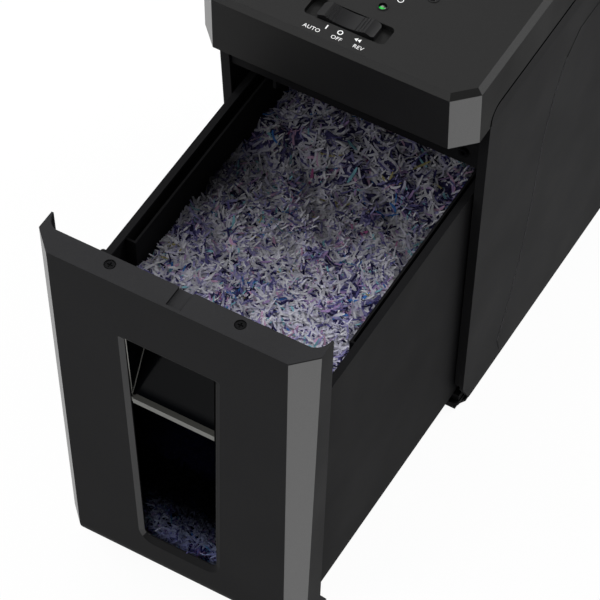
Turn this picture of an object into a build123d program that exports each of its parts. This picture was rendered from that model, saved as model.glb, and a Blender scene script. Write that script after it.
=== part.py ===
"""Pull-out-bin paper shredder, drawn with its bin 210 mm out.

Millimetres. +X right, +Y back, +Z up. The origin is on the surface the shredder stands on, at the
middle of the footprint with the bin drawn out. The bin closes along +Y.
"""
from build123d import *
from math import acos, atan2, cos, pi, radians, sin, sqrt, tan
import os

os.makedirs("parts", exist_ok=True)

# ---------------------------------------------------------------- driving dimensions
width = 216.0            # over the head and the top of the bin panel
depth = 345.0            # head front to back panel
pull_out = 210.0         # how far the bin is drawn out here
head_bottom = 328.0      # underside of the head's front
head_top = 379.0
bevel = 4.0              # flat bevel round the head's top
corner = 15.8            # 45 degree corner on head and bin panel, at the head
rear_corner = 8.0
side_lean = 10.4         # each side comes in this much over the bin panel's height
edge_lean = 6.7          # and the front edge beside the corner this much
lean_height = 307.0
seam_z = 342.5           # joint between head and side panels
seam_y = 31.5            # side panels begin this far behind the head front
seam_radius = 13.0
seam_gap = 0.8
skin = 3.0               # wall of the moulded covers

panel_top = 326.7
panel_bottom = 8.0
panel_roll = 15.0        # radius under the bin panel's lower edge
panel_lid = 19.6         # top face of the bin panel, front to back
wing_back = 31.2         # side returns of the bin panel end here
trim_thick = 1.2

tub_floor = 15.0
rim_z = 250.0
rim_half = 96.5          # outer half width at the rim
tub_half = 89.3          # outer half width at the tub's floor
rim_width = 5.6
tub_wall = 2.6
tub_length = 322.0       # bin panel front to the outside of the tub's rear wall
frame_y = 9.0            # inner front wall starts this far behind the panel front
frame_thick = 3.0

window_top = 273.0
window_bottom = 40.6
window_half_top = 39.7
window_half_bottom = 33.4
window_bevel = 3.9       # width of the sloping frame round the window
window_bevel_depth = 1.8
window_sill = 1.8        # the frame's lower slope is this much wider than the rest
lip_z = 205.3            # fold between window pane and finger scoop

half = width / 2
front = -(depth - pull_out) / 2      # head front
back = front + depth
bin_front = front - pull_out         # bin panel front as drawn


def side_at(z):
    """Outer half width of sides and bin panel at height z."""
    return half - side_lean * max(0.0, head_bottom - z) / lean_height


def edge_at(z):
    """Half width of the flat front at height z, up to the 45 degree corner."""
    return half - corner - edge_lean * max(0.0, head_bottom - z) / lean_height


def xz(y):
    """Sketch plane across the shredder at y: local x is X, local y is Z. Extrude -t to go back."""
    return Plane.XZ.offset(-y)


def save(builder, label):
    """Label a finished piece and write its STEP file."""
    builder.part.label = label
    export_step(builder.part, f"parts/{label}.step")


# ================================================================ head and housing
head_outline = [
    (half - corner, front), (half, front + corner),
    (half, back - rear_corner), (half - rear_corner, back),
    (rear_corner - half, back), (-half, back - rear_corner),
    (-half, front + corner), (corner - half, front),
]

# control area, measured from the head front
pocket_half = 31.3
pocket_y = (18.6, 36.0)
pocket_depth = 4.6
pocket_round = 3.5
lamp_holes = [(13.1, 49.9), (39.1, 73.5)]
lamp_radius = 4.1

# paper slot, along Y
slot_y = (92.0, 322.0)
throat_half = 10.0       # half width of the slot surround
throat_end = 5.0         # surround beyond each end of the slot
slot_half = 3.5

cutter_z = 320.0
cutter_gap = 36.0        # between the two cutter axes
trim_height = head_top - bevel - head_bottom


def corner_bar(z, sign, y0):
    """Section of a corner trim at height z: a mitred strip along the 45 degree corner."""
    edge = edge_at(z)
    side = side_at(z)
    along = trim_thick * tan(radians(22.5)) / sqrt(2)
    inward = trim_thick / sqrt(2)
    return [
        (sign * edge, y0),
        (sign * side, y0 + side - edge),
        (sign * (side - along - inward), y0 + side - edge - along + inward),
        (sign * (edge + along - inward), y0 + along + inward),
    ]


with BuildPart() as head_cover:
    with BuildSketch(Plane.XY.offset(head_bottom)):
        with BuildLine():
            Polyline(*head_outline, close=True)
        make_face()
    extrude(amount=head_top - head_bottom)
    chamfer(faces().sort_by(Axis.Z)[-1].edges(), length=bevel)
    # hollow it from below
    with BuildSketch(Plane.XY.offset(head_bottom)):
        with BuildLine():
            Polyline(*head_outline, close=True)
        make_face()
        offset(amount=-skin, kind=Kind.INTERSECTION, mode=Mode.REPLACE)
    extrude(amount=head_top - head_bottom - skin, mode=Mode.SUBTRACT)
    # behind the bin panel's wings the skirt stops at the seam
    with BuildSketch(Plane.YZ):
        with Locations((front + seam_y + depth / 2, seam_z - 50)):
            Rectangle(depth, 100)
        fillet(vertices().sort_by(Axis.Y)[-2:].sort_by(Axis.X)[0], seam_radius)
    extrude(amount=half + 1, both=True, mode=Mode.SUBTRACT)
    # bed for the corner trims
    for sign in (-1, 1):
        with BuildSketch(Plane.XY.offset(head_bottom)):
            with BuildLine():
                Polyline(*corner_bar(head_bottom, sign, front), close=True)
            make_face()
        extrude(amount=trim_height, mode=Mode.SUBTRACT)
    # control pocket, lamps and paper slot
    with BuildSketch(Plane.XY.offset(head_top)):
        with Locations((0, front + sum(pocket_y) / 2)):
            RectangleRounded(2 * pocket_half, pocket_y[1] - pocket_y[0], pocket_round)
        with Locations(*[(x, front + y) for x, y in lamp_holes]):
            Circle(lamp_radius)
        with Locations((0, front + sum(slot_y) / 2)):
            RectangleRounded(2 * throat_half, slot_y[1] - slot_y[0] + 2 * throat_end, 4)
    extrude(amount=-2 * skin, mode=Mode.SUBTRACT)
    # posts that the circuit board hangs from
    with BuildSketch(Plane.XY.offset(head_top - skin)):
        with Locations(*[(x, front + y) for x in (-14, 50) for y in (42, 86)]):
            Circle(3.2)
            Circle(1.2, mode=Mode.SUBTRACT)
    extrude(amount=-12)
save(head_cover, "head_cover")

for name, sign in (("head_trim_left", -1), ("head_trim_right", 1)):
    with BuildPart() as head_trim:
        with BuildSketch(Plane.XY.offset(head_bottom)):
            with BuildLine():
                Polyline(*corner_bar(head_bottom, sign, front), close=True)
            make_face()
        extrude(amount=trim_height)
    save(head_trim, name)

wall_bottom = 5.0
panel_back = back - skin             # side panels end at the back panel
lip_width = 7.3
lip_depth = 2.2
lip_span = (30.0, 324.6)             # above the bin panel's foot tabs, below the deck
foot_cut = [(31.5, 27.0), (43.5, wall_bottom)]


def side_strip(outer, inner):
    """Leaning section of a side wall between two distances in from the outer face."""
    top = seam_z - seam_gap
    foot = side_at(wall_bottom)
    return [(half - outer, top), (half - outer, head_bottom), (foot - outer, wall_bottom),
            (foot - inner, wall_bottom), (half - inner, head_bottom), (half - inner, top)]


swell = 0.25                         # soft raised field behind the crease
crease = [(150.0, 286.0), (127.0, 227.0), (119.0, 164.0), (104.0, 86.0), (84.0, 30.0)]

for name, sign in (("side_panel_left", -1), ("side_panel_right", 1)):
    with BuildPart() as side_panel:
        with BuildSketch(xz(front + seam_y)):
            with BuildLine():
                Polyline(*[(sign * x, z) for x, z in side_strip(0, skin)], close=True)
            make_face()
        extrude(amount=-(panel_back - front - seam_y))
        # raised field behind the crease
        with BuildSketch(Plane.YZ.offset(sign * (half - 20))):
            with BuildLine():
                run = Spline(*[(front + y, z) for y, z in crease])
                Polyline(run @ 1, (front + 90, 12), (panel_back - 12, 12), (panel_back - 12, 300),
                         (front + 168, 300), run @ 0)
            make_face()
        extrude(amount=sign * (20 + swell), mode=Mode.ADD)
        with BuildSketch(xz(front)):
            with BuildLine():
                Polyline(*[(sign * x, z) for x, z in side_strip(-swell, skin)], close=True)
            make_face()
        extrude(amount=-depth, mode=Mode.INTERSECT)
        # rounded upper front corner, cut lower front corner
        with BuildSketch(Plane.YZ):
            with BuildLine():
                Polyline((front + seam_y, foot_cut[0][1]), (front + foot_cut[1][0], wall_bottom),
                         (panel_back, wall_bottom), (panel_back, seam_z - seam_gap),
                         (front + seam_y, seam_z - seam_gap), close=True)
            make_face()
            fillet(vertices().sort_by(Axis.X)[:2].sort_by(Axis.Y)[-1], seam_radius)
        extrude(amount=half + 5, both=True, mode=Mode.INTERSECT)
        # front return that the bin panel's wing meets
        with BuildSketch(xz(front + seam_y)):
            with BuildLine():
                strip = [(side_at(z) - skin / 2, z) for z in lip_span]
                strip += [(side_at(z) - lip_width, z) for z in reversed(lip_span)]
                Polyline(*[(sign * x, z) for x, z in strip], close=True)
            make_face()
        extrude(amount=-lip_depth)
    save(side_panel, name)

# ---------------------------------------------------------------- back panel
vent_rows = 9
cord_x, cord_z = 62.0, 60.0
cord_radius = 7.0
cord_bore = 3.6
back_screw_spots = [(x, z) for x in (-84, 84) for z in (30, 180, 331)]
with BuildPart() as back_panel:
    with BuildSketch(xz(panel_back)):
        with BuildLine():
            top = seam_z - seam_gap
            Polyline((half, top), (half, head_bottom), (side_at(wall_bottom), wall_bottom),
                     (-side_at(wall_bottom), wall_bottom), (-half, head_bottom), (-half, top), close=True)
        make_face()
        with Locations(*[(0, 236 + 9 * row) for row in range(vent_rows)]):
            SlotOverall(90, 3.6, mode=Mode.SUBTRACT)
        with Locations((cord_x, cord_z)):
            Circle(cord_radius, mode=Mode.SUBTRACT)
        with Locations(*back_screw_spots):
            Circle(1.8, mode=Mode.SUBTRACT)
    extrude(amount=-skin)
    # sinkings for the screw heads and the cord bush
    with BuildSketch(xz(back)):
        with Locations(*back_screw_spots):
            Circle(3.8)
        with Locations((cord_x, cord_z)):
            Circle(cord_radius + 2.5)
    extrude(amount=1.5, mode=Mode.SUBTRACT)
save(back_panel, "back_panel")

with BuildPart() as back_screws:
    with BuildSketch(xz(back)):
        with Locations(*back_screw_spots):
            Circle(3.4)
    extrude(amount=1.5)
    with BuildSketch(xz(back - 1.5)):
        with Locations(*back_screw_spots):
            Circle(1.75)
    extrude(amount=6)
    with BuildSketch(xz(back)):
        with Locations(*back_screw_spots):
            Rectangle(4.2, 0.9)
            Rectangle(0.9, 4.2)
    extrude(amount=0.8, mode=Mode.SUBTRACT)
save(back_screws, "back_screws")

with BuildPart() as cord_bush:
    with BuildSketch(xz(back)):
        with Locations((cord_x, cord_z)):
            Circle(cord_radius + 2.5)
    extrude(amount=1.5)
    with BuildSketch(xz(back)):
        with Locations((cord_x, cord_z)):
            Circle(cord_radius)
    extrude(amount=skin + 3)
    with BuildSketch(xz(back)):
        with Locations((cord_x, cord_z)):
            Circle(cord_bore)
    extrude(amount=skin + 3, mode=Mode.SUBTRACT)
save(cord_bush, "cord_bush")

# ---------------------------------------------------------------- base and feet
base_half = 94.0
base_under = 2.0
base_top = 8.0
rail_x = 66.0
rail_half = 6.0
rail_top = tub_floor - 0.4
foot_spots = [(sx * 76, front + y) for sx in (-1, 1) for y in (48, 326)]
base_front = front + 30.5

flange_half = 95.8                   # flange under the side panels, with its front corners cut
flange_cut = (3.4, 10.6)
flange_top = wall_bottom - 0.3
curb_half = 93.2                     # curb across the front, under the bin's floor
curb_y = (4.0, 12.0)
curb_top = tub_floor - 0.8

with BuildPart() as base_tray:
    with BuildSketch(Plane.XY.offset(base_under)):
        with BuildLine():
            nose = flange_half - flange_cut[0]
            Polyline((-nose, base_front), (nose, base_front), (nose, base_front + flange_cut[1] / 2),
                     (flange_half, base_front + flange_cut[1]), (flange_half, panel_back),
                     (-flange_half, panel_back), (-flange_half, base_front + flange_cut[1]),
                     (-nose, base_front + flange_cut[1] / 2), close=True)
        make_face()
        with Locations(*foot_spots):
            Circle(9, mode=Mode.SUBTRACT)
    extrude(amount=flange_top - base_under)
    with BuildSketch(Plane.XY.offset(flange_top)):
        with Locations((0, (base_front + panel_back) / 2)):
            RectangleRounded(2 * base_half, panel_back - base_front, 4)
        with Locations(*foot_spots):
            Circle(9, mode=Mode.SUBTRACT)
    extrude(amount=base_top - flange_top)
    with BuildSketch(Plane.XY.offset(base_top - 2)):
        with Locations(*foot_spots):
            Circle(10)
    extrude(amount=2)
    # runners the bin slides on, and an upstand at the back that stops it
    with BuildSketch(Plane.XY.offset(base_top)):
        with Locations(*[(sx * rail_x, (front + 36 + panel_back - 8) / 2) for sx in (-1, 1)]):
            Rectangle(2 * rail_half, panel_back - 8 - front - 36)
    extrude(amount=rail_top - base_top)
    with BuildSketch(Plane.XY.offset(base_top)):
        with Locations((0, base_front + sum(curb_y) / 2)):
            Rectangle(2 * curb_half, curb_y[1] - curb_y[0])
    extrude(amount=curb_top - base_top)
    with BuildSketch(Plane.XY.offset(base_top)):
        with Locations((0, panel_back - 6)):
            Rectangle(2 * 80, 6)
    extrude(amount=34)
save(base_tray, "base_tray")

with BuildPart() as rubber_feet:
    with BuildSketch(Plane.XY):
        with Locations(*foot_spots):
            Circle(9)
    extrude(amount=base_top - 2)
    chamfer(faces().filter_by(Axis.Z).group_by(Axis.Z)[0].edges(), length=0.8)
save(rubber_feet, "rubber_feet")

# ---------------------------------------------------------------- deck that carries the cutting unit
deck_half = 104.85
deck_under = 325.0
well = (-64.0, 97.5, front + 36.5, front + 334.0)     # inside of the well: x, x, y, y
well_wall = 2.5
well_bottom = 266.0
well_top = 354.0
well_front_bottom = 277.0
plunger_x, plunger_y = 4.3, front + 12.0
plunger_radius = 3.0
rod_spots = [(-50.0, 346.0), (-50.0, 290.0), (88.0, 346.0), (88.0, 290.0)]

with BuildPart() as mechanism_deck:
    with BuildSketch(Plane.XY.offset(deck_under)):
        with Locations((0, (well[2] - well_wall + panel_back) / 2)):
            Rectangle(2 * deck_half, panel_back - well[2] + well_wall)
    extrude(amount=head_bottom - deck_under)
    # wall round the well
    with BuildSketch(Plane.XY.offset(well_bottom)):
        with Locations(((well[0] + well[1]) / 2, (well[2] + well[3]) / 2)):
            Rectangle(well[1] - well[0] + 2 * well_wall, well[3] - well[2] + 2 * well_wall)
    extrude(amount=well_top - well_bottom)
    with BuildSketch(Plane.XY.offset(well_bottom)):
        with Locations(((well[0] + well[1]) / 2, (well[2] + well[3]) / 2)):
            Rectangle(well[1] - well[0], well[3] - well[2])
    extrude(amount=well_top - well_bottom, mode=Mode.SUBTRACT)
    with BuildSketch(Plane.XY.offset(well_bottom - 1)):
        with Locations((0, well[2] - well_wall / 2)):
            Rectangle(2 * half, well_wall + 0.2)
    extrude(amount=well_front_bottom - well_bottom + 1, mode=Mode.SUBTRACT)
    # apron across the bay, in line with the side panels' front returns
    with BuildSketch(Plane.XY.offset(well_front_bottom)):
        with Locations((0, well[2] - well_wall / 2)):
            Rectangle(2 * (side_at(well_front_bottom) - lip_width - 0.3), well_wall)
    extrude(amount=deck_under - well_front_bottom)
    # floor of the head in front of the well
    with BuildSketch(Plane.XY.offset(head_bottom + 0.3)):
        with Locations((0, (front + skin + well[2]) / 2)):
            Rectangle(2 * 89.0, well[2] - front - skin)
        with Locations((plunger_x, plunger_y)):
            Circle(plunger_radius + 0.3, mode=Mode.SUBTRACT)
    extrude(amount=2.5)
    # screw holes for the tie rods
    with BuildSketch(xz(well[2] - well_wall)):
        with Locations(*rod_spots):
            Circle(2.0)
    extrude(amount=-(well[3] - well[2] + 2 * well_wall), mode=Mode.SUBTRACT)
save(mechanism_deck, "mechanism_deck")

# ---------------------------------------------------------------- cutting unit: plates and rods
plate_front = front + 88.0
plate_rear = front + 327.0
plate_thick = 2.5
gear_plate_y = front + 54.0
axis_right = (cutter_gap / 2, cutter_z)
axis_left = (-cutter_gap / 2, cutter_z)
motor_axis = (69.0, cutter_z)
bush_outer = 9.0
journal = 6.0
running = 0.05                       # radial running clearance
rod_radius = 4.0

# gear train: teeth and module of each pair, motor to cutters
motor_teeth, wheel_1_teeth, module_1 = 12, 48, 1.0
pinion_1_teeth, wheel_2_teeth, module_2 = 12, 44, 1.25
pinion_2_teeth, drive_teeth, module_3 = 12, 24, 1.5
dist_1 = module_1 * (motor_teeth + wheel_1_teeth) / 2
dist_2 = module_2 * (pinion_1_teeth + wheel_2_teeth) / 2
dist_3 = module_3 * (pinion_2_teeth + drive_teeth) / 2
drop = radians(50)
axis_2 = (axis_right[0] + dist_3 * cos(drop), cutter_z - dist_3 * sin(drop))


def meet(a, r_a, b, r_b):
    """Upper point at distance r_a from a and r_b from b."""
    span = sqrt((b[0] - a[0]) ** 2 + (b[1] - a[1]) ** 2)
    along = (r_a ** 2 - r_b ** 2 + span ** 2) / (2 * span)
    rise = sqrt(r_a ** 2 - along ** 2)
    ux, uz = (b[0] - a[0]) / span, (b[1] - a[1]) / span
    return (a[0] + along * ux - rise * uz, a[1] + along * uz + rise * ux)


axis_1 = meet(axis_2, dist_2, motor_axis, dist_1)
idler_journal = 4.0
idler_bush = 6.0
idler_length = plate_front + plate_thick - 0.3 - gear_plate_y + 3

with BuildPart() as front_plate:
    with BuildSketch(xz(plate_front)):
        with Locations(((well[0] + well[1]) / 2, 313)):
            RectangleRounded(156, 84, 6)
        with Locations(axis_left, axis_right):
            Circle(bush_outer, mode=Mode.SUBTRACT)
        with Locations(axis_1, axis_2):
            Circle(idler_bush, mode=Mode.SUBTRACT)
        with Locations(*rod_spots):
            Circle(rod_radius, mode=Mode.SUBTRACT)
        with Locations(motor_axis):
            Circle(10, mode=Mode.SUBTRACT)
        with Locations(*[(motor_axis[0] + sx * 16, motor_axis[1]) for sx in (-1, 1)]):
            Circle(2.1, mode=Mode.SUBTRACT)
    extrude(amount=-plate_thick)
save(front_plate, "front_plate")

with BuildPart() as rear_plate:
    with BuildSketch(xz(plate_rear)):
        with Locations(((well[0] + well[1]) / 2, 313)):
            RectangleRounded(156, 84, 6)
        with Locations(axis_left, axis_right):
            Circle(bush_outer, mode=Mode.SUBTRACT)
        with Locations(*rod_spots):
            Circle(rod_radius, mode=Mode.SUBTRACT)
    extrude(amount=-plate_thick)
save(rear_plate, "rear_plate")

with BuildPart() as gear_plate:
    with BuildSketch(xz(gear_plate_y)):
        with Locations((60, 313)):
            RectangleRounded(68, 84, 6)
        with Locations(axis_1, axis_2):
            Circle(idler_bush, mode=Mode.SUBTRACT)
        with Locations(*rod_spots[2:]):
            Circle(rod_radius, mode=Mode.SUBTRACT)
        with Locations(motor_axis):
            Circle(6, mode=Mode.SUBTRACT)
    extrude(amount=-plate_thick)
save(gear_plate, "gear_plate")

with BuildPart() as tie_rods:
    with BuildSketch(xz(well[2])):
        with Locations(*rod_spots):
            Circle(rod_radius)
    extrude(amount=-(well[3] - well[2]))
    for y in (well[2], well[3] - 10):
        with BuildSketch(xz(y)):
            with Locations(*rod_spots):
                Circle(2.0)
        extrude(amount=-10, mode=Mode.SUBTRACT)
save(tie_rods, "tie_rods")

with BuildPart() as rod_screws:
    for face_y, outward in ((well[2] - well_wall, 1), (well[3] + well_wall, -1)):
        with BuildSketch(xz(face_y)):
            with Locations(*rod_spots):
                Circle(3.6)
        extrude(amount=2.5 * outward)
        with BuildSketch(xz(face_y)):
            with Locations(*rod_spots):
                Circle(2.0)
        extrude(amount=-(well_wall + 8) * outward)
        with BuildSketch(xz(face_y - 2.5 * outward)):
            with Locations(*rod_spots):
                RegularPolygon(1.8, 6)
        extrude(amount=-1.4 * outward, mode=Mode.SUBTRACT)
save(rod_screws, "rod_screws")


def ring(x, z, y, length, outer, inner):
    """Add a plain bush along Y to the part being built."""
    with BuildSketch(xz(y)) as outline:
        with Locations((x, z)):
            Circle(outer)
            Circle(inner, mode=Mode.SUBTRACT)
    extrude(outline.sketch, amount=-length)


with BuildPart() as cutter_bushes:
    for x, z in (axis_left, axis_right):
        for y in (plate_front, plate_rear):
            ring(x, z, y, plate_thick, bush_outer, journal + running)
    for x, z in (axis_left, axis_right):
        ring(x, z, plate_rear + plate_thick, 1.5, bush_outer + 2, journal + running)
save(cutter_bushes, "cutter_bushes")

with BuildPart() as gear_bushes:
    for x, z in (axis_1, axis_2):
        for y in (plate_front, gear_plate_y):
            ring(x, z, y, plate_thick, idler_bush, idler_journal + running)
        ring(x, z, gear_plate_y - 1.2, 1.2, idler_bush + 1.5, idler_journal + running)
        ring(x, z, plate_front - 1.2, 1.2, idler_bush + 1.5, idler_journal + running)
save(gear_bushes, "gear_bushes")

# ---------------------------------------------------------------- cutters and gears
disc_pitch = 8.0
disc_thick = 3.8
disc_radius = 20.0
core_radius = 15.4
cutter_start = plate_front + plate_thick + 1.0
cutter_end = plate_rear - 1.0
disc_count = int((cutter_end - cutter_start - disc_thick) // disc_pitch)
gear_y_a = front + 77.5              # drive gears, nearest the front plate
gear_y_b = front + 68.0              # second wheel
gear_y_c = front + 60.0              # first wheel and motor pinion
gear_face_a, gear_face_b, gear_face_c = 8.0, 7.0, 6.0


def gear_points(teeth, module, phase):
    """Outline of an involute spur gear with a tooth centred on angle phase, in radians from +X."""
    pitch_r = module * teeth / 2
    base_r = pitch_r * cos(radians(20))
    tip_r = pitch_r + 0.75 * module
    root_r = pitch_r - 1.1 * module
    backlash = 0.10 * module / pitch_r
    half_pitch = pi / (2 * teeth) - backlash

    def flank(r):
        """Half the tooth's angle at radius r."""
        def involute(radius):
            angle = acos(min(1.0, base_r / radius))
            return tan(angle) - angle
        return half_pitch + involute(pitch_r) - involute(max(r, base_r))

    start_r = max(base_r, root_r)
    radii = [start_r + (tip_r - start_r) * step / 4 for step in range(5)]
    points = []
    for tooth in range(teeth):
        middle = phase + 2 * pi * tooth / teeth
        side = [(root_r, flank(start_r))] + [(r, flank(r)) for r in radii]
        points += [(r * cos(middle - a), r * sin(middle - a)) for r, a in side]
        points += [(r * cos(middle + a), r * sin(middle + a)) for r, a in reversed(side)]
    return points if root_r < base_r else [p for i, p in enumerate(points) if i % 12 not in (1, 10)]


def mesh_phase(teeth_a, phase_a, teeth_b, a, b):
    """Phase of gear b that puts it in mesh with gear a."""
    line = atan2(b[1] - a[1], b[0] - a[0])
    return line + pi - teeth_a / teeth_b * (phase_a - line) - pi / teeth_b


def gear(axis, y, face_width, teeth, module, phase):
    """Add a gear round an axis along Y to the part being built."""
    with BuildSketch(xz(y)) as outline:
        with BuildLine():
            Polyline(*[(axis[0] + x, axis[1] + z) for x, z in gear_points(teeth, module, phase)], close=True)
        make_face()
    extrude(outline.sketch, amount=-face_width)


def round_bar(axis, y, length, radius):
    """Add a round length of shaft along Y to the part being built."""
    with BuildSketch(xz(y)) as outline:
        with Locations(axis):
            Circle(radius)
    extrude(outline.sketch, amount=-length)


phase_right = 0.0
phase_left = mesh_phase(drive_teeth, phase_right, drive_teeth, axis_right, axis_left)
phase_p2 = mesh_phase(drive_teeth, phase_right, pinion_2_teeth, axis_right, axis_2)
phase_w2 = 0.0
phase_p1 = mesh_phase(wheel_2_teeth, phase_w2, pinion_1_teeth, axis_2, axis_1)
phase_w1 = 0.0
phase_motor = mesh_phase(wheel_1_teeth, phase_w1, motor_teeth, axis_1, motor_axis)

for name, axis, phase, first in (
    ("cutter_right", axis_right, phase_right, 0.2),
    ("cutter_left", axis_left, phase_left, 0.2 + disc_pitch / 2),
):
    with BuildPart() as cutter:
        # shaft core and discs in one turned profile
        with BuildSketch(Plane(origin=(axis[0], 0, axis[1]), x_dir=(1, 0, 0), z_dir=(0, 0, 1))):
            with BuildLine():
                profile = [(0, cutter_start), (core_radius, cutter_start)]
                for disc in range(disc_count):
                    y = cutter_start + first + disc * disc_pitch
                    profile += [(core_radius, y), (disc_radius, y),
                                (disc_radius, y + disc_thick), (core_radius, y + disc_thick)]
                profile += [(core_radius, cutter_end), (0, cutter_end)]
                Polyline(*profile, close=True)
            make_face()
        revolve(axis=Axis((axis[0], 0, axis[1]), (0, 1, 0)))
        # knife notches in every disc
        with BuildSketch(xz(cutter_start)):
            with Locations(axis):
                with PolarLocations(0, 5, start_angle=15):
                    Polygon((16.4, 0), (21, -1.5), (21, 5.5), align=None)
        extrude(amount=-(cutter_end - cutter_start), mode=Mode.SUBTRACT)
        round_bar(axis, gear_y_a - 1.0, cutter_start - gear_y_a + 1.0, journal)
        round_bar(axis, cutter_end, plate_rear + plate_thick + 3.5 - cutter_end, journal)
        gear(axis, gear_y_a, gear_face_a, drive_teeth, module_3, phase)
    save(cutter, name)

with BuildPart() as second_gear:
    round_bar(axis_2, gear_plate_y - 3, idler_length, idler_journal)
    gear(axis_2, gear_y_a + 0.5, gear_face_a - 1, pinion_2_teeth, module_3, phase_p2)
    gear(axis_2, gear_y_b, gear_face_b, wheel_2_teeth, module_2, phase_w2)
    with BuildSketch(xz(gear_y_b)):
        with Locations(axis_2):
            with PolarLocations(17, 5):
                Circle(5)
    extrude(amount=-gear_face_b, mode=Mode.SUBTRACT)
save(second_gear, "second_gear")

with BuildPart() as first_gear:
    round_bar(axis_1, gear_plate_y - 3, idler_length, idler_journal)
    gear(axis_1, gear_y_b + 0.5, gear_face_b - 1, pinion_1_teeth, module_2, phase_p1)
    gear(axis_1, gear_y_c, gear_face_c, wheel_1_teeth, module_1, phase_w1)
    with BuildSketch(xz(gear_y_c)):
        with Locations(axis_1):
            with PolarLocations(15, 5):
                Circle(4.5)
    extrude(amount=-gear_face_c, mode=Mode.SUBTRACT)
save(first_gear, "first_gear")

# ---------------------------------------------------------------- motor
can_start = plate_front + plate_thick
can_length = 86.0
can_radius = 24.5
motor_shaft = 2.5

with BuildPart() as motor_housing:
    with BuildSketch(xz(can_start)):
        with Locations(motor_axis):
            Circle(can_radius)
    extrude(amount=-can_length)
    with BuildSketch(xz(can_start + 4)):
        with Locations(motor_axis):
            Circle(can_radius - 3)
    extrude(amount=-can_length, mode=Mode.SUBTRACT)
    with BuildSketch(xz(can_start)):
        with Locations(motor_axis):
            Circle(motor_shaft + running)
        with Locations(*[(motor_axis[0] + sx * 16, motor_axis[1]) for sx in (-1, 1)]):
            Circle(2.0)
    extrude(amount=-4, mode=Mode.SUBTRACT)
    # cooling slots round the can
    for turn in range(6):
        spoke = Plane.XY.rotated((0, 60 * turn, 0)).move(Location((motor_axis[0], 0, motor_axis[1])))
        with BuildSketch(spoke):
            with Locations((0, can_start + can_length - 24)):
                SlotOverall(26, 5, rotation=90)
        extrude(amount=can_radius + 2, mode=Mode.SUBTRACT)
save(motor_housing, "motor_housing")

with BuildPart() as motor_rotor:
    round_bar(motor_axis, gear_y_c - 2, can_start + can_length - gear_y_c - 2, motor_shaft)
    gear(motor_axis, gear_y_c - 0.5, gear_face_c + 1, motor_teeth, module_1, phase_motor)
    round_bar(motor_axis, can_start + 10, 52, 17)
    # fan
    round_bar(motor_axis, can_start + can_length - 16, 10, 6)
    with BuildSketch(xz(can_start + can_length - 16)):
        with Locations(motor_axis):
            with PolarLocations(12.5, 8):
                Rectangle(14, 1.6)
    extrude(amount=-10)
save(motor_rotor, "motor_rotor")

with BuildPart() as motor_screws:
    with BuildSketch(xz(plate_front)):
        with Locations(*[(motor_axis[0] + sx * 16, motor_axis[1]) for sx in (-1, 1)]):
            Circle(2.0)
    extrude(amount=-(plate_thick + 4))
    with BuildSketch(xz(plate_front - 2.2)):
        with Locations(*[(motor_axis[0] + sx * 16, motor_axis[1]) for sx in (-1, 1)]):
            Circle(3.5)
            RegularPolygon(1.5, 6, mode=Mode.SUBTRACT)
    extrude(amount=-2.2)
save(motor_screws, "motor_screws")

# ---------------------------------------------------------------- paper path
finger_root = 40.0                   # combs stand beside the cutters from here out
finger_tip = core_radius + 0.9       # fingers reach this close to each cutter axis
finger_thick = 3.4
for name, axis, sign, first in (
    ("paper_comb_right", axis_right, 1, 0.2),
    ("paper_comb_left", axis_left, -1, 0.2 + disc_pitch / 2),
):
    with BuildPart() as comb:
        with BuildSketch(xz(plate_front + plate_thick)):
            with Locations((sign * (finger_root + 2), cutter_z)):
                Rectangle(4, 26)
        extrude(amount=-(plate_rear - plate_front - plate_thick))
        with BuildSketch(Plane.XY.offset(cutter_z - 9)):
            inner = abs(axis[0]) + finger_tip
            gap = (disc_pitch - disc_thick) / 2
            for tooth in range(disc_count - 1):
                y = cutter_start + first + tooth * disc_pitch + disc_thick + gap
                with Locations((sign * (inner + finger_root) / 2, y)):
                    Rectangle(finger_root - inner, finger_thick)
        extrude(amount=18)
    save(comb, name)

throat_bottom = 342.0
throat_wall = 2.0
with BuildPart() as feed_throat:
    flange_length = slot_y[1] - slot_y[0] + 2 * throat_end
    middle = front + sum(slot_y) / 2
    with BuildSketch(Plane.XY.offset(head_top - 6)):
        with Locations((0, middle)):
            RectangleRounded(2 * throat_half, flange_length, 4)
    extrude(amount=6)
    with BuildSketch(Plane.XY.offset(throat_bottom)):
        with Locations((0, middle)):
            Rectangle(2 * (slot_half + throat_wall), slot_y[1] - slot_y[0] + 2.4)
    extrude(amount=head_top - 6 - throat_bottom)
    # flared entry, then a straight slot
    with BuildSketch(Plane.XY.offset(head_top)):
        with Locations((0, middle)):
            RectangleRounded(4 * slot_half, slot_y[1] - slot_y[0], 2)
    with BuildSketch(Plane.XY.offset(head_top - 5)):
        with Locations((0, middle)):
            RectangleRounded(2 * slot_half, slot_y[1] - slot_y[0], 2)
    loft(mode=Mode.SUBTRACT)
    with BuildSketch(Plane.XY.offset(throat_bottom)):
        with Locations((0, middle)):
            RectangleRounded(2 * slot_half, slot_y[1] - slot_y[0], 2)
    extrude(amount=head_top - throat_bottom, mode=Mode.SUBTRACT)
save(feed_throat, "feed_throat")

with BuildPart() as paper_sensors:
    with Locations(*[(sx * (slot_half + throat_wall + 3), front + 206, 362) for sx in (-1, 1)]):
        Box(6, 9, 9)
save(paper_sensors, "paper_sensors")

# ---------------------------------------------------------------- controls
pocket_mid = front + sum(pocket_y) / 2
pocket_floor = head_top - pocket_depth
stem_half = 3.0
slide_travel = 8.0                   # each way from the middle

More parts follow.
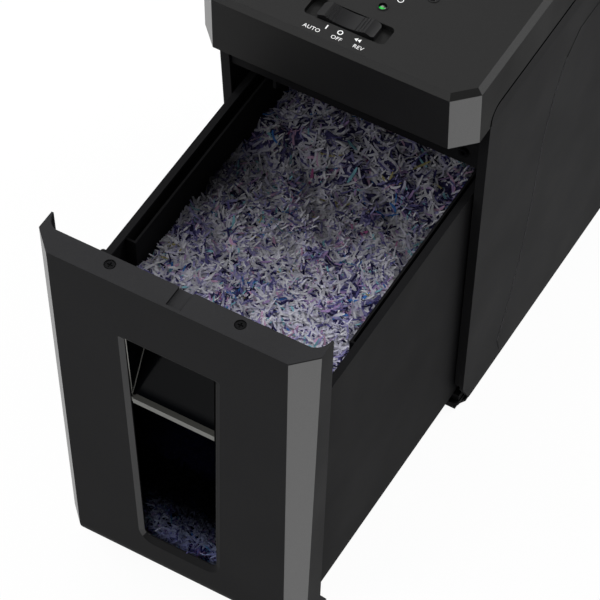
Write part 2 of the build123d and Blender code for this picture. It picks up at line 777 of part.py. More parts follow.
with BuildPart() as control_pocket:
    with BuildSketch(Plane.XY.offset(pocket_floor - 1.4)):
        with Locations((0, pocket_mid)):
            RectangleRounded(2 * pocket_half + 5, pocket_y[1] - pocket_y[0] + 3.4, 2)
    extrude(amount=head_top - skin - pocket_floor + 1.4)
    with BuildSketch(Plane.XY.offset(pocket_floor)):
        with Locations((0, pocket_mid)):
            RectangleRounded(2 * pocket_half, pocket_y[1] - pocket_y[0], pocket_round)
    extrude(amount=pocket_depth, mode=Mode.SUBTRACT)
    with BuildSketch(Plane.XY.offset(pocket_floor)):
        with Locations((0, pocket_mid)):
            Rectangle(2 * (stem_half + slide_travel + 0.5), 5)
    extrude(amount=-2, mode=Mode.SUBTRACT)
save(control_pocket, "control_pocket")

switch_top = 364.0
with BuildPart() as mode_switch:
    with BuildSketch(Plane.XY.offset(350)):
        with Locations((0, (pocket_mid - 7.3 + well[2] - well_wall) / 2)):
            Rectangle(36, well[2] - well_wall - pocket_mid + 7.3)
    extrude(amount=switch_top - 350)
    with BuildSketch(Plane.XY.offset(switch_top)):
        with Locations((0, pocket_mid)):
            Rectangle(2 * (stem_half + slide_travel + 0.5), 5)
    extrude(amount=-5, mode=Mode.SUBTRACT)
save(mode_switch, "mode_switch")

# sliding cap: two grip ridges and a shallow dish between them
cap_end = 22.0
ridge_x = 15.6
ridge_top = head_top + 3.0
dish = head_top + 0.4
cap_bottom = pocket_floor + 0.3
cap_width = 14.3
cap_corner = 2.6
grip_groove = 0.6
with BuildPart() as mode_slider:
    with BuildSketch(xz(pocket_mid - cap_width / 2)):
        with BuildLine():
            Line((-cap_end, cap_bottom), (cap_end, cap_bottom))
            Line((cap_end, cap_bottom), (cap_end, dish))
            ThreePointArc((cap_end, dish), (ridge_x + 2.6, ridge_top - 0.9), (ridge_x, ridge_top))
            ThreePointArc((ridge_x, ridge_top), (0, dish), (-ridge_x, ridge_top))
            ThreePointArc((-ridge_x, ridge_top), (-ridge_x - 2.6, ridge_top - 0.9), (-cap_end, dish))
            Line((-cap_end, dish), (-cap_end, cap_bottom))
        make_face()
    extrude(amount=-cap_width)
    # rounded corners
    with BuildSketch(Plane.XY.offset(cap_bottom)):
        with Locations((0, pocket_mid)):
            RectangleRounded(2 * cap_end, cap_width, cap_corner)
    extrude(amount=ridge_top - cap_bottom, mode=Mode.INTERSECT)
    # grip grooves beside each ridge
    with BuildSketch(xz(pocket_mid - cap_width / 2)):
        for sign in (-1, 1):
            for step in (2.2, 4.6, 7.0):
                x = sign * (ridge_x - step)
                drop = (ridge_top - dish) * (1 - (abs(x) / ridge_x) ** 2)
                with Locations((x, ridge_top - drop)):
                    Circle(grip_groove)
    extrude(amount=-cap_width, mode=Mode.SUBTRACT)
    with BuildSketch(Plane.XY.offset(cap_bottom)):
        with Locations((0, pocket_mid)):
            Rectangle(2 * stem_half, 4)
    extrude(amount=-(cap_bottom - switch_top + 4))
save(mode_slider, "mode_slider")

board_top = head_top - skin - 12
board_x = (-20.0, 55.0)
board_y = (38.0, 90.0)
board_thick = 1.6
post_spots = [(x, front + y) for x in (-14, 50) for y in (42, 86)]
with BuildPart() as control_board:
    with BuildSketch(Plane.XY.offset(board_top)):
        with Locations((sum(board_x) / 2, front + sum(board_y) / 2)):
            RectangleRounded(board_x[1] - board_x[0], board_y[1] - board_y[0], 2)
        with Locations(*post_spots):
            Circle(1.2, mode=Mode.SUBTRACT)
    extrude(amount=-board_thick)
    # parts on the board: relay, capacitor, chip
    with BuildSketch(Plane.XY.offset(board_top)):
        with Locations((20, front + 78)):
            Rectangle(16, 12)
    extrude(amount=9)
    with BuildSketch(Plane.XY.offset(board_top)):
        with Locations((36, front + 56)):
            Circle(4)
    extrude(amount=10)
    with BuildSketch(Plane.XY.offset(board_top)):
        with Locations((-4, front + 62)):
            Rectangle(10, 14)
    extrude(amount=1.5)
save(control_board, "control_board")

with BuildPart() as board_screws:
    with BuildSketch(Plane.XY.offset(board_top - board_thick)):
        with Locations(*post_spots):
            Circle(2.4)
    extrude(amount=-1.5)
    with BuildSketch(Plane.XY.offset(board_top - board_thick)):
        with Locations(*post_spots):
            Circle(1.2)
    extrude(amount=board_thick + 7)
save(board_screws, "board_screws")

lamp_pipe = 3.0
lamp_dome = 2.2
for name, (x, y) in zip(("ready_lamp", "alert_lamp"), lamp_holes):
    with BuildPart() as lamp:
        with BuildSketch(Plane.XY.offset(board_top)):
            with Locations((x, front + y)):
                Circle(lamp_pipe)
        extrude(amount=head_top - 0.3 - board_top)
        fillet(faces().sort_by(Axis.Z)[-1].edges(), radius=lamp_dome)
    save(lamp, name)

with BuildPart() as lamp_collars:
    with BuildSketch(Plane.XY.offset(head_top - skin - 1)):
        with Locations(*[(x, front + y) for x, y in lamp_holes]):
            Circle(lamp_radius)
            Circle(lamp_pipe, mode=Mode.SUBTRACT)
    extrude(amount=skin + 1.4)
save(lamp_collars, "lamp_collars")

# ---------------------------------------------------------------- bin interlock
deck_floor_top = head_bottom + 0.3 + 2.5
plunger_nose = 325.0
with BuildPart() as interlock_switch:
    with BuildSketch(Plane.XY.offset(deck_floor_top)):
        with Locations((plunger_x, plunger_y)):
            Rectangle(20, 12)
    extrude(amount=21)
    with BuildSketch(Plane.XY.offset(deck_floor_top)):
        with Locations((plunger_x, plunger_y)):
            Circle(plunger_radius + 2.2)
    extrude(amount=5.2, mode=Mode.SUBTRACT)
    with BuildSketch(Plane.XY.offset(deck_floor_top)):
        with Locations((plunger_x, plunger_y)):
            Circle(1.8)
    extrude(amount=15, mode=Mode.SUBTRACT)
save(interlock_switch, "interlock_switch")

with BuildPart() as interlock_plunger:
    with BuildSketch(Plane.XY.offset(plunger_nose)):
        with Locations((plunger_x, plunger_y)):
            Circle(plunger_radius)
    extrude(amount=deck_floor_top + 0.3 - plunger_nose)
    chamfer(faces().sort_by(Axis.Z)[0].edges(), length=1.2)
    with BuildSketch(Plane.XY.offset(deck_floor_top + 0.3)):
        with Locations((plunger_x, plunger_y)):
            Circle(plunger_radius + 1.5)
    extrude(amount=1.5)
    with BuildSketch(Plane.XY.offset(deck_floor_top + 1.8)):
        with Locations((plunger_x, plunger_y)):
            Circle(1.5)
    extrude(amount=8.5)
save(interlock_plunger, "interlock_plunger")

# ================================================================ bin, drawn out
tab_back = 41.3
tab_top = 26.6
panel_wall = 3.0
wing_wall = 1.6
panel_reach = 44.0                   # blanks run back to here before they are trimmed


def panel_plan(z, inset, side_inset):
    """Plan of the bin panel at height z, inset from its outer face and sides."""
    edge = edge_at(z) - inset * tan(radians(22.5))
    side = side_at(z) - side_inset
    turn = side - edge + inset
    near = bin_front + inset
    return [(-side, bin_front + panel_reach), (-side, bin_front + turn), (-edge, near),
            (edge, near), (side, bin_front + turn), (side, bin_front + panel_reach)]


def panel_side(radius, inset, wing, top):
    """Side profile that trims a blank: rolled lower front edge, foot tab and top."""
    low = panel_bottom + inset
    near = bin_front + inset
    with BuildSketch(Plane.YZ.offset(-half - 1)) as outline:
        with BuildLine():
            Line((near, top), (near, low + radius))
            RadiusArc((near, low + radius), (near + radius, low), -radius)
            Polyline((near + radius, low), (bin_front + tab_back, low), (bin_front + wing, tab_top),
                     (bin_front + wing, top), (near, top))
        make_face()
    return outline.sketch


def corner_under(sign, inset):
    """Block outside the rolled lower edge of one 45 degree corner."""
    level = panel_bottom + panel_roll
    edge, side = edge_at(level), side_at(level)
    middle = (sign * (edge + side) / 2, bin_front + (side - edge) / 2, 0)
    across = Plane(origin=middle, x_dir=(-sign, 1, 0), z_dir=(1, sign, 0))
    with BuildSketch(across) as outline:
        with BuildLine():
            RadiusArc((inset, level), (panel_roll, panel_bottom + inset), inset - panel_roll)
            Polyline((panel_roll, panel_bottom + inset), (panel_roll, -panel_roll),
                     (-panel_roll, -panel_roll), (-panel_roll, level), (inset, level))
        make_face()
    return extrude(outline.sketch, amount=panel_reach, both=True, mode=Mode.PRIVATE)


with BuildPart() as panel_blank:
    for z in (panel_bottom, panel_top):
        with BuildSketch(Plane.XY.offset(z)):
            with BuildLine():
                Polyline(*panel_plan(z, 0, 0), close=True)
            make_face()
    loft(ruled=True)
    extrude(panel_side(panel_roll, 0, wing_back, panel_top), amount=width + 2, mode=Mode.INTERSECT)
    for sign in (-1, 1):
        add(corner_under(sign, 0), mode=Mode.SUBTRACT)

with BuildPart() as panel_hollow:
    for z in (panel_bottom - 2, panel_top + 2):
        with BuildSketch(Plane.XY.offset(z)):
            with BuildLine():
                Polyline(*panel_plan(z, panel_wall, wing_wall), close=True)
            make_face()
    loft(ruled=True)
    with BuildSketch(Plane.YZ.offset(-half - 1)):
        with BuildLine():
            inner_roll = panel_roll - panel_wall
            low = panel_bottom + panel_wall
            near = bin_front + panel_wall
            lid_under = panel_top - panel_wall
            Line((near, lid_under), (near, low + inner_roll))
            roll = CenterArc((near + inner_roll, low + inner_roll), inner_roll, 180, 57)
            Polyline(roll @ 1, (bin_front + 8.5, 0), (bin_front + panel_reach + 1, 0),
                     (bin_front + panel_reach + 1, panel_top + 2), (bin_front + panel_lid, panel_top + 2),
                     (bin_front + panel_lid, lid_under), (near, lid_under))
        make_face()
    extrude(amount=width + 2, mode=Mode.INTERSECT)
    for sign in (-1, 1):
        add(corner_under(sign, panel_wall), mode=Mode.SUBTRACT)


def window_face(y, inset, top_radius, bottom_radius):
    """Face of the window opening at y: wider at the top, with rounded corners."""
    rise = (window_half_top - window_half_bottom) / (window_top - window_bottom)
    top = window_top - inset
    bottom = window_bottom + inset * window_sill
    wide = window_half_bottom + rise * (top - window_bottom) - inset
    narrow = window_half_bottom + rise * (bottom - window_bottom) - inset
    with BuildSketch(xz(y)) as outline:
        with BuildLine():
            Polyline((-narrow, bottom), (narrow, bottom), (wide, top), (-wide, top), close=True)
        make_face()
        fillet(vertices().group_by(Axis.Y)[0], radius=bottom_radius)
        fillet(vertices().group_by(Axis.Y)[-1], radius=top_radius)
    return outline.sketch


lid_screws = [(-50.5, bin_front + 12.5), (49.1, bin_front + 12.5)]
lid_head = 4.2
notch_x = (-1.5, 10.0)
notch_front = 2.6
notch_deep = 2.0
web_in = 9.0                         # webs across the corners between lid and wings
web_sag = 2.4                        # their edges are hollow by this much
trim_drop = 1.0                      # trims end this far below the lid

with BuildPart() as bin_panel:
    add(panel_blank.part)
    add(panel_hollow.part, mode=Mode.SUBTRACT)
    # webs across the inside corners where the lid meets the wings
    with BuildSketch(Plane.XY.offset(panel_top - panel_wall)):
        for sign in (-1, 1):
            wall_x = side_at(panel_top) - wing_wall
            near = bin_front + panel_lid
            tip = bin_front + wing_back
            with BuildLine():
                edge = ThreePointArc((sign * (wall_x - web_in), near),
                                     (sign * (wall_x - web_in / 2 + web_sag / 2), (near + tip) / 2 - web_sag),
                                     (sign * wall_x, tip))
                Polyline(edge @ 1, (sign * (wall_x + 0.8), tip), (sign * (wall_x + 0.8), near - 1),
                         (sign * (wall_x - web_in), near - 1), edge @ 0)
            make_face()
    extrude(amount=panel_wall)
    # window opening with a sloping frame
    loft(
        [window_face(bin_front - 0.01, 0, 3, 13),
         window_face(bin_front + window_bevel_depth, window_bevel, 1.5, 6)],
        mode=Mode.SUBTRACT,
    )
    extrude(window_face(bin_front, window_bevel, 1.5, 6), amount=-panel_wall - 1, mode=Mode.SUBTRACT)
    # notch that the interlock plunger stands in, and two screw wells
    with BuildSketch(Plane.XY.offset(panel_top)):
        with Locations((sum(notch_x) / 2, bin_front + (notch_front + panel_lid) / 2 + 1)):
            Rectangle(notch_x[1] - notch_x[0], panel_lid - notch_front + 2)
    extrude(amount=-notch_deep, mode=Mode.SUBTRACT)
    with BuildSketch(Plane.XY.offset(panel_top)):
        with Locations(*lid_screws):
            Circle(lid_head)
    extrude(amount=-1.6, mode=Mode.SUBTRACT)
    with BuildSketch(Plane.XY.offset(panel_top)):
        with Locations(*lid_screws):
            Circle(1.8)
    extrude(amount=-panel_wall - 1, mode=Mode.SUBTRACT)
    # bed for the corner trims
    for sign in (-1, 1):
        for z in (panel_bottom - 1, panel_top - trim_drop):
            with BuildSketch(Plane.XY.offset(z)):
                with BuildLine():
                    Polyline(*corner_bar(z, sign, bin_front), close=True)
                make_face()
        loft(ruled=True, mode=Mode.SUBTRACT)
save(bin_panel, "bin_panel")

for name, sign in (("bin_trim_left", -1), ("bin_trim_right", 1)):
    with BuildPart() as bin_trim:
        for z in (panel_bottom - 1, panel_top - trim_drop):
            with BuildSketch(Plane.XY.offset(z)):
                with BuildLine():
                    Polyline(*corner_bar(z, sign, bin_front), close=True)
                make_face()
        loft(ruled=True)
        extrude(panel_side(panel_roll, 0, wing_back, panel_top), amount=width + 2, mode=Mode.INTERSECT)
        add(corner_under(sign, 0), mode=Mode.SUBTRACT)
    save(bin_trim, name)

# ---------------------------------------------------------------- window and finger scoop
pane_thick = 2.4
pane_under = 5.0                     # pane laps this far behind the opening
lip_half = 32.4
lip_front = 2.2
lip_back = 8.5
lip_thick = 4.8
with BuildPart() as bin_window:
    with BuildSketch(xz(bin_front + panel_wall)):
        with BuildLine():
            Polyline((-36.0, window_bottom - pane_under), (36.0, window_bottom - pane_under),
                     (40.0, lip_z), (-40.0, lip_z), close=True)
        make_face()
        fillet(vertices().group_by(Axis.Y)[0], radius=8)
    extrude(amount=-pane_thick)
    with BuildSketch(xz(bin_front + lip_front)):
        with Locations((0, lip_z - lip_thick / 2)):
            Rectangle(2 * lip_half, lip_thick)
    extrude(amount=-(lip_back - lip_front))
save(bin_window, "bin_window")

scoop_half = 36.2
scoop_wall = 1.8
scoop_floor = 24.0                   # the front plate slopes back over this height
scoop_back = 30.0
scoop_top = 290.0
with BuildPart() as finger_scoop:
    with BuildSketch(Plane.YZ.offset(-scoop_half)):
        with BuildLine():
            Polyline((bin_front + panel_wall, lip_z + 0.2), (bin_front + 8.9, lip_z + 0.2),
                     (bin_front + scoop_back, lip_z + scoop_floor), (bin_front + scoop_back, scoop_top),
                     (bin_front + panel_wall, scoop_top), close=True)
        make_face()
    extrude(amount=2 * scoop_half)
    with BuildSketch(Plane.YZ.offset(scoop_wall - scoop_half)):
        with BuildLine():
            Polyline((bin_front + panel_wall - 1, lip_z + 0.2), (bin_front + 6.5, lip_z + 0.2),
                     (bin_front + scoop_back - 2.4, lip_z + scoop_floor),
                     (bin_front + scoop_back - 2.4, scoop_top - 2.4),
                     (bin_front + panel_wall - 1, scoop_top - 2.4), close=True)
        make_face()
    extrude(amount=2 * (scoop_half - scoop_wall), mode=Mode.SUBTRACT)
save(finger_scoop, "finger_scoop")

# ---------------------------------------------------------------- bin body
frame_top = 322.0
frame_bottom = tub_floor + tub_wall + 0.2
boss_bottom = 298.0
peg_x, peg_y = -62.3, bin_front + 22.4
peg_radius = 2.2
peg_drop = 4.4                       # its top below the lid


def frame_half(z):
    """Half width of the inner front wall at height z, just inside the bin panel."""
    return edge_at(z) + 4.5


with BuildPart() as bin_front_frame:
    with BuildSketch(xz(bin_front + frame_y)):
        with BuildLine():
            level = panel_bottom + panel_roll
            low, mid, high = frame_half(frame_bottom) - 2, frame_half(level), frame_half(frame_top)
            Polyline((-low, frame_bottom), (low, frame_bottom), (mid, level), (high, frame_top),
                     (-high, frame_top), (-mid, level), close=True)
        make_face()
        with BuildLine():
            Polyline((-38, frame_bottom + 10), (38, frame_bottom + 10), (41, scoop_top + 6),
                     (-41, scoop_top + 6), close=True)
        make_face(mode=Mode.SUBTRACT)
    extrude(amount=-frame_thick)
    with BuildSketch(Plane.XY.offset(boss_bottom)):
        with Locations(*lid_screws):
            Circle(4.5)
    extrude(amount=panel_top - panel_wall - boss_bottom)
    with BuildSketch(Plane.XY.offset(panel_top)):
        with Locations(*lid_screws):
            Circle(1.5)
    extrude(amount=-20, mode=Mode.SUBTRACT)
    # small peg behind the lid, on a rib
    with BuildSketch(Plane.XY.offset(boss_bottom)):
        with Locations((peg_x, peg_y)):
            Circle(peg_radius)
    extrude(amount=panel_top - peg_drop - boss_bottom)
    with BuildSketch(Plane.XY.offset(boss_bottom)):
        with Locations((peg_x, (bin_front + frame_y + 1 + peg_y) / 2)):
            Rectangle(2, peg_y - bin_front - frame_y - 1)
    extrude(amount=panel_top - peg_drop - 1 - boss_bottom)
save(bin_front_frame, "bin_front_frame")

with BuildPart() as panel_screws:
    with BuildSketch(Plane.XY.offset(panel_top - 1.6)):
        with Locations(*lid_screws):
            Circle(3.4)
    extrude(amount=1.1)
    with BuildSketch(Plane.XY.offset(panel_top - 1.6)):
        with Locations(*lid_screws):
            Circle(1.5)
    extrude(amount=-14)
    with BuildSketch(Plane.XY.offset(panel_top - 0.5)):
        with Locations(*lid_screws):
            Rectangle(4.2, 0.9)
            Rectangle(0.9, 4.2)
    extrude(amount=-0.8, mode=Mode.SUBTRACT)
save(panel_screws, "panel_screws")

tub_front = bin_front + frame_y + frame_thick
tub_back = bin_front + tub_length


def tub_outer(z):
    """Outer half width of the tub at height z."""
    return tub_half + (rim_half - tub_half) * (z - tub_floor) / (rim_z - tub_floor)


def tub_section(inset, low, high):
    """Tub's cross-section between two heights, inset from its outer faces."""
    wide, narrow = tub_outer(high) - inset, tub_outer(low) - inset
    return [(-narrow, low), (narrow, low), (wide, high), (-wide, high)]


with BuildPart() as bin_tub:
    with BuildSketch(xz(tub_front)):
        with BuildLine():
            Polyline(*tub_section(0, tub_floor, rim_z), close=True)
        make_face()
        fillet(vertices().group_by(Axis.Y)[0], radius=2.5)
    extrude(amount=-(tub_back - tub_front))
    with BuildSketch(xz(tub_front)):
        with BuildLine():
            Polyline(*tub_section(tub_wall, tub_floor + tub_wall, rim_z + 1), close=True)
        make_face()
    extrude(amount=-(tub_back - tub_wall - tub_front), mode=Mode.SUBTRACT)
    # rim turned inwards along both sides and the back
    with BuildSketch(Plane.XY.offset(rim_z - 2.4)):
        with Locations((0, (tub_front + tub_back) / 2)):
            Rectangle(2 * (rim_half - 0.1), tub_back - tub_front)
        with Locations((0, (tub_front + tub_back - rim_width) / 2)):
            Rectangle(2 * (rim_half - rim_width), tub_back - rim_width - tub_front, mode=Mode.SUBTRACT)
    extrude(amount=2.4)
save(bin_tub, "bin_tub")

guard_outer = 86.6
guard_thick = 1.8
guard_top = 244.0
guard_front = bin_front + 92.0
for name, sign in (("inner_guard_left", -1), ("inner_guard_right", 1)):
    with BuildPart() as inner_guard:
        with BuildSketch(Plane.XY.offset(tub_floor + tub_wall)):
            with Locations((sign * (guard_outer - guard_thick / 2), (guard_front + tub_back - tub_wall) / 2)):
                Rectangle(guard_thick, tub_back - tub_wall - guard_front)
        extrude(amount=guard_top - tub_floor - tub_wall)
        with BuildSketch(xz(guard_front)):
            with BuildLine():
                flap_bottom = tub_floor + tub_wall + 4
                root = guard_outer - 0.5
                low = tub_outer(flap_bottom) - tub_wall - 0.1
                high = tub_outer(guard_top) - tub_wall - 0.1
                Polyline((sign * root, flap_bottom), (sign * low, flap_bottom),
                         (sign * high, guard_top), (sign * root, guard_top), close=True)
            make_face()
        extrude(amount=-guard_thick)
    save(inner_guard, name)

# ---------------------------------------------------------------- shredded paper
heap_half = guard_outer - guard_thick - 0.4
heap_low = tub_floor + tub_wall + 0.5
heap_front = tub_front + 0.6
heap_far = tub_back - tub_wall - 0.6
heap_brow = 46.0                     # behind the scoop the slope reaches the heap's top here
heap_high = 224.0
mound_pitch = 34.0
mound_high = 2.6
trough = 9.0                         # hollow beside the left guard
trough_wide = 26.0
sag = 12.0                           # the top sinks this much towards the tub's rear wall


def heap_top(x, y):
    """Height of the heap's top: mounds, a hollow beside the left guard, sinking to the rear."""
    along = (y - bin_front) / tub_length
    beside = max(0.0, 1 - (x + heap_half) / trough_wide)
    turn = 2 * pi / mound_pitch
    mounds = sin(turn * x + 0.8) * cos(turn * y) + 0.5 * sin(0.6 * turn * (x + y))
    return heap_high + 1.4 * x / heap_half + mound_high * mounds - trough * beside ** 2 - sag * along ** 3


with BuildPart() as shredded_paper:
    with BuildSketch(Plane.YZ.offset(-heap_half)):
        with BuildLine():
            near = bin_front
            above = heap_high + 20
            Polyline((heap_front, heap_low), (heap_front, 92), (near + 40, 170),
                     (near + heap_brow, heap_high - 3), (near + heap_brow, above), (heap_far, above),
                     (heap_far, heap_low), close=True)
        make_face()
    extrude(amount=2 * heap_half)
    step = mound_pitch / 4
    columns = [-heap_half - step + step * i for i in range(int(2 * heap_half / step) + 4)]
    rows = [bin_front + 30 + step * j for j in range(int((tub_length - 30) / step) + 3)]
    grid = [[Vector(x, y, heap_top(x, y)) for y in rows] for x in columns]
    extrude(Face.make_surface_from_array_of_points(grid), amount=60, dir=(0, 0, 1), mode=Mode.SUBTRACT)
save(shredded_paper, "shredded_paper")
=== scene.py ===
import math
import random

import bpy
from mathutils import Matrix, Vector, noise
from mathutils.bvhtree import BVHTree


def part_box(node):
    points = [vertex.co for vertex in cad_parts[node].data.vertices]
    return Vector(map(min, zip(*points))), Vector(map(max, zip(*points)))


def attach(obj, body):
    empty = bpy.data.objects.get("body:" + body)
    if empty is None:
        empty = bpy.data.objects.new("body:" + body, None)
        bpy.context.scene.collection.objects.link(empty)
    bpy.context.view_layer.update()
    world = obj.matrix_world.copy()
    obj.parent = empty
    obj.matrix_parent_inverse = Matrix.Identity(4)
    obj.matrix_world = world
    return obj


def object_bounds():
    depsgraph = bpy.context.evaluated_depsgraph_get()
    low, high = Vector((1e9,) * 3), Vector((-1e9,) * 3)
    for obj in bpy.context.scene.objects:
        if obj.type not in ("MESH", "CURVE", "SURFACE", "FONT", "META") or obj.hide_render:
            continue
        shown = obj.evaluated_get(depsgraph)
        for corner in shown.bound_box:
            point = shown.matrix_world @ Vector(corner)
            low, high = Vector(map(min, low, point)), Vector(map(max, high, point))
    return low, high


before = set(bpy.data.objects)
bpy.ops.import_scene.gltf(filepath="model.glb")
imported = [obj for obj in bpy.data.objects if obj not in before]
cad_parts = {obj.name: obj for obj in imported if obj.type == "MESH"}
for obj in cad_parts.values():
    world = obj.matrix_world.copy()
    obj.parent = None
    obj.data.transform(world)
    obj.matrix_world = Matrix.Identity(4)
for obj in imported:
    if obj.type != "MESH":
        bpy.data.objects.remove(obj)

MM = 0.001
cad_low, cad_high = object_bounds()

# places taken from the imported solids
HEAD_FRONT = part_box("head_cover")[0].y
HEAD_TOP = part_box("head_cover")[1].z
BIN_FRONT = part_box("bin_panel")[0].y
PANE_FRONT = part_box("bin_window")[0].y
LIP_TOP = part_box("bin_window")[1].z
LIP_FOOT = LIP_TOP - 4.9 * MM        # the pane's folded lip is above this
LAMP_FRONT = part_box("ready_lamp")[0].y
heap_low, heap_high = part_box("shredded_paper")


# ---------------------------------------------------------------- camera
# A long lens high at the front right, aimed down at the drawn-out bin.
CAMERA_AT = Vector((0.7760, -1.4103, 2.0500))
CAMERA_TURN = -0.5372        # about the vertical, towards the left
CAMERA_DOWN = 0.8970         # below the horizontal
CAMERA_ROLL = -0.0071
CAMERA_LENS = 204.45         # millimetres
CAMERA_SENSOR = 36           # millimetres
CAMERA_REACH = 50            # metres, past the whole floor

ahead = Vector((
    math.sin(CAMERA_TURN) * math.cos(CAMERA_DOWN),
    math.cos(CAMERA_TURN) * math.cos(CAMERA_DOWN),
    -math.sin(CAMERA_DOWN),
))
level_right = Vector((math.cos(CAMERA_TURN), -math.sin(CAMERA_TURN), 0))
level_up = level_right.cross(ahead)
right = level_right * math.cos(CAMERA_ROLL) + level_up * math.sin(CAMERA_ROLL)
up = level_up * math.cos(CAMERA_ROLL) - level_right * math.sin(CAMERA_ROLL)
camera_data = bpy.data.cameras.new("camera")
camera_data.lens = CAMERA_LENS
camera_data.sensor_width = CAMERA_SENSOR
camera_data.clip_end = CAMERA_REACH
camera = bpy.data.objects.new("camera", camera_data)
camera.matrix_world = Matrix((
    (right.x, up.x, -ahead.x, CAMERA_AT.x),
    (right.y, up.y, -ahead.y, CAMERA_AT.y),
    (right.z, up.z, -ahead.z, CAMERA_AT.z),
    (0, 0, 0, 1),
))
bpy.context.scene.collection.objects.link(camera)
bpy.context.scene.camera = camera


# ---------------------------------------------------------------- materials
def srgb(code):
    """Linear RGBA of an sRGB hex colour."""
    channels = [int(code[i:i + 2], 16) / 255 for i in (1, 3, 5)]
    linear = [c / 12.92 if c <= 0.04045 else ((c + 0.055) / 1.055) ** 2.4 for c in channels]
    return (*linear, 1.0)


def add(tree, kind, inputs=None, **settings):
    """Add a node. Its inputs are values or other nodes' outputs, by socket name or number.

    A MapRange's inputs 1 and 2 are where its value starts and ends, 3 and 4 what it gives there, 0 and 1
    if they aren't set. A COMPARE's inputs 1 and 2 are the middle of what it picks out and how far it reaches.
    """
    new = tree.nodes.new("ShaderNode" + kind)
    for name, value in settings.items():
        setattr(new, name, value)
    for socket, value in (inputs or {}).items():
        if isinstance(value, bpy.types.NodeSocket):
            tree.links.new(value, new.inputs[socket])
        else:
            new.inputs[socket].default_value = value
    return new


def start(name):
    """A new empty material, its tree and its output node."""
    made = bpy.data.materials.new(name)
    made.use_nodes = True
    made.node_tree.nodes.clear()
    return made, made.node_tree, add(made.node_tree, "OutputMaterial")


def per_mm(size):
    """Texture scale that gives features of this size in millimetres."""
    return 1 / (size * MM)


# Sizes of the patterns in the finishes, in millimetres. Real moulding grain, paint flake, hairlines,
# tool lines and paper fibre are finer: they are drawn as coarse as they need to be to show.
CLOUDING = 60.0              # patches of tone and gloss over a moulding
GRAIN = 0.7
FLAKE = 0.6
HAIRLINES = 1.2
TOOL_LINES = 0.25
OIL_FILM = 14.0
BLOOM = 5.0
TRACKS = 4.0
PACKING = 2.5
FIBRE = 0.8

NOISE_LOW, NOISE_HIGH = 0.3, 0.7     # most of a noise pattern lies between these
TURNED_UP = (0.2, 0.7)               # a face passes for an upper one between these shares of facing up


def facing(tree, axis):
    """How far a surface faces along an axis, from -1 to 1."""
    return add(tree, "SeparateXYZ", {0: add(tree, "NewGeometry").outputs["Normal"]}).outputs[axis]


def by_facing(tree, painted_upper_face_light, painted_front_bevel_light, painted_side_bevel_light, flank, under, step):
    """Painted light and shade of a moulding by the way each face lies, against 1 for its front, and its gloss
    likewise.

    Level tops are painted lighter, front and side bevels painted brighter, flanks and undersides
    painted darker and duller, and the low step round a raised field carries a painted highlight.
    """
    up = facing(tree, "Z")
    aside = add(tree, "Math", {0: facing(tree, "X")}, operation="ABSOLUTE").outputs[0]
    # level tops, painted lighter
    top = add(tree, "MapRange", {0: up, 1: 0.8, 2: 1.0, 3: 1.0, 4: painted_upper_face_light}).outputs[0]
    # 45 degree bevels, painted brighter ahead and at the sides, but for those of the corners
    sloped = add(tree, "Math", {0: up, 1: 0.7, 2: 0.12}, operation="COMPARE").outputs[0]
    corner = add(tree, "Math", {0: aside, 1: 0.5, 2: 0.15}, operation="COMPARE").outputs[0]
    along = add(tree, "MapRange", {0: aside, 1: 0.3, 2: 0.6, 3: painted_front_bevel_light, 4: painted_side_bevel_light}).outputs[0]
    long_bevel = add(tree, "Math", {0: sloped, 1: corner}, operation="SUBTRACT").outputs[0]
    bevel = add(tree, "MapRange", {0: long_bevel, 3: 1.0, 4: along}).outputs[0]
    # painted highlight on the step round a raised field, where it faces forward and up
    raked = add(tree, "Math", {0: up, 1: 0.42, 2: 0.36}, operation="COMPARE").outputs[0]
    frontward = add(tree, "Math", {0: facing(tree, "Y"), 1: -0.6}, operation="LESS_THAN").outputs[0]
    stepped = add(tree, "Math", {0: raked, 1: frontward}, operation="MULTIPLY").outputs[0]
    edge = add(tree, "MapRange", {0: stepped, 3: 1.0, 4: step}).outputs[0]
    # painted shade on flanks and undersides, which also turns down their gloss
    side = add(tree, "MapRange", {0: aside, 1: 0.8, 2: 0.95, 3: 1.0, 4: flank}).outputs[0]
    below = add(tree, "MapRange", {0: up, 1: -0.8, 2: -0.05, 3: under, 4: 1.0}).outputs[0]
    shade = top
    for part in (bevel, side, below, edge):
        shade = add(tree, "Math", {0: shade, 1: part}, operation="MULTIPLY").outputs[0]
    sheen = add(tree, "Math", {0: side, 1: below}, operation="MULTIPLY").outputs[0]
    return shade, sheen


FOOT_SHADE_TOP = 250 * MM            # painted shade: mouldings darken towards the floor from this height down
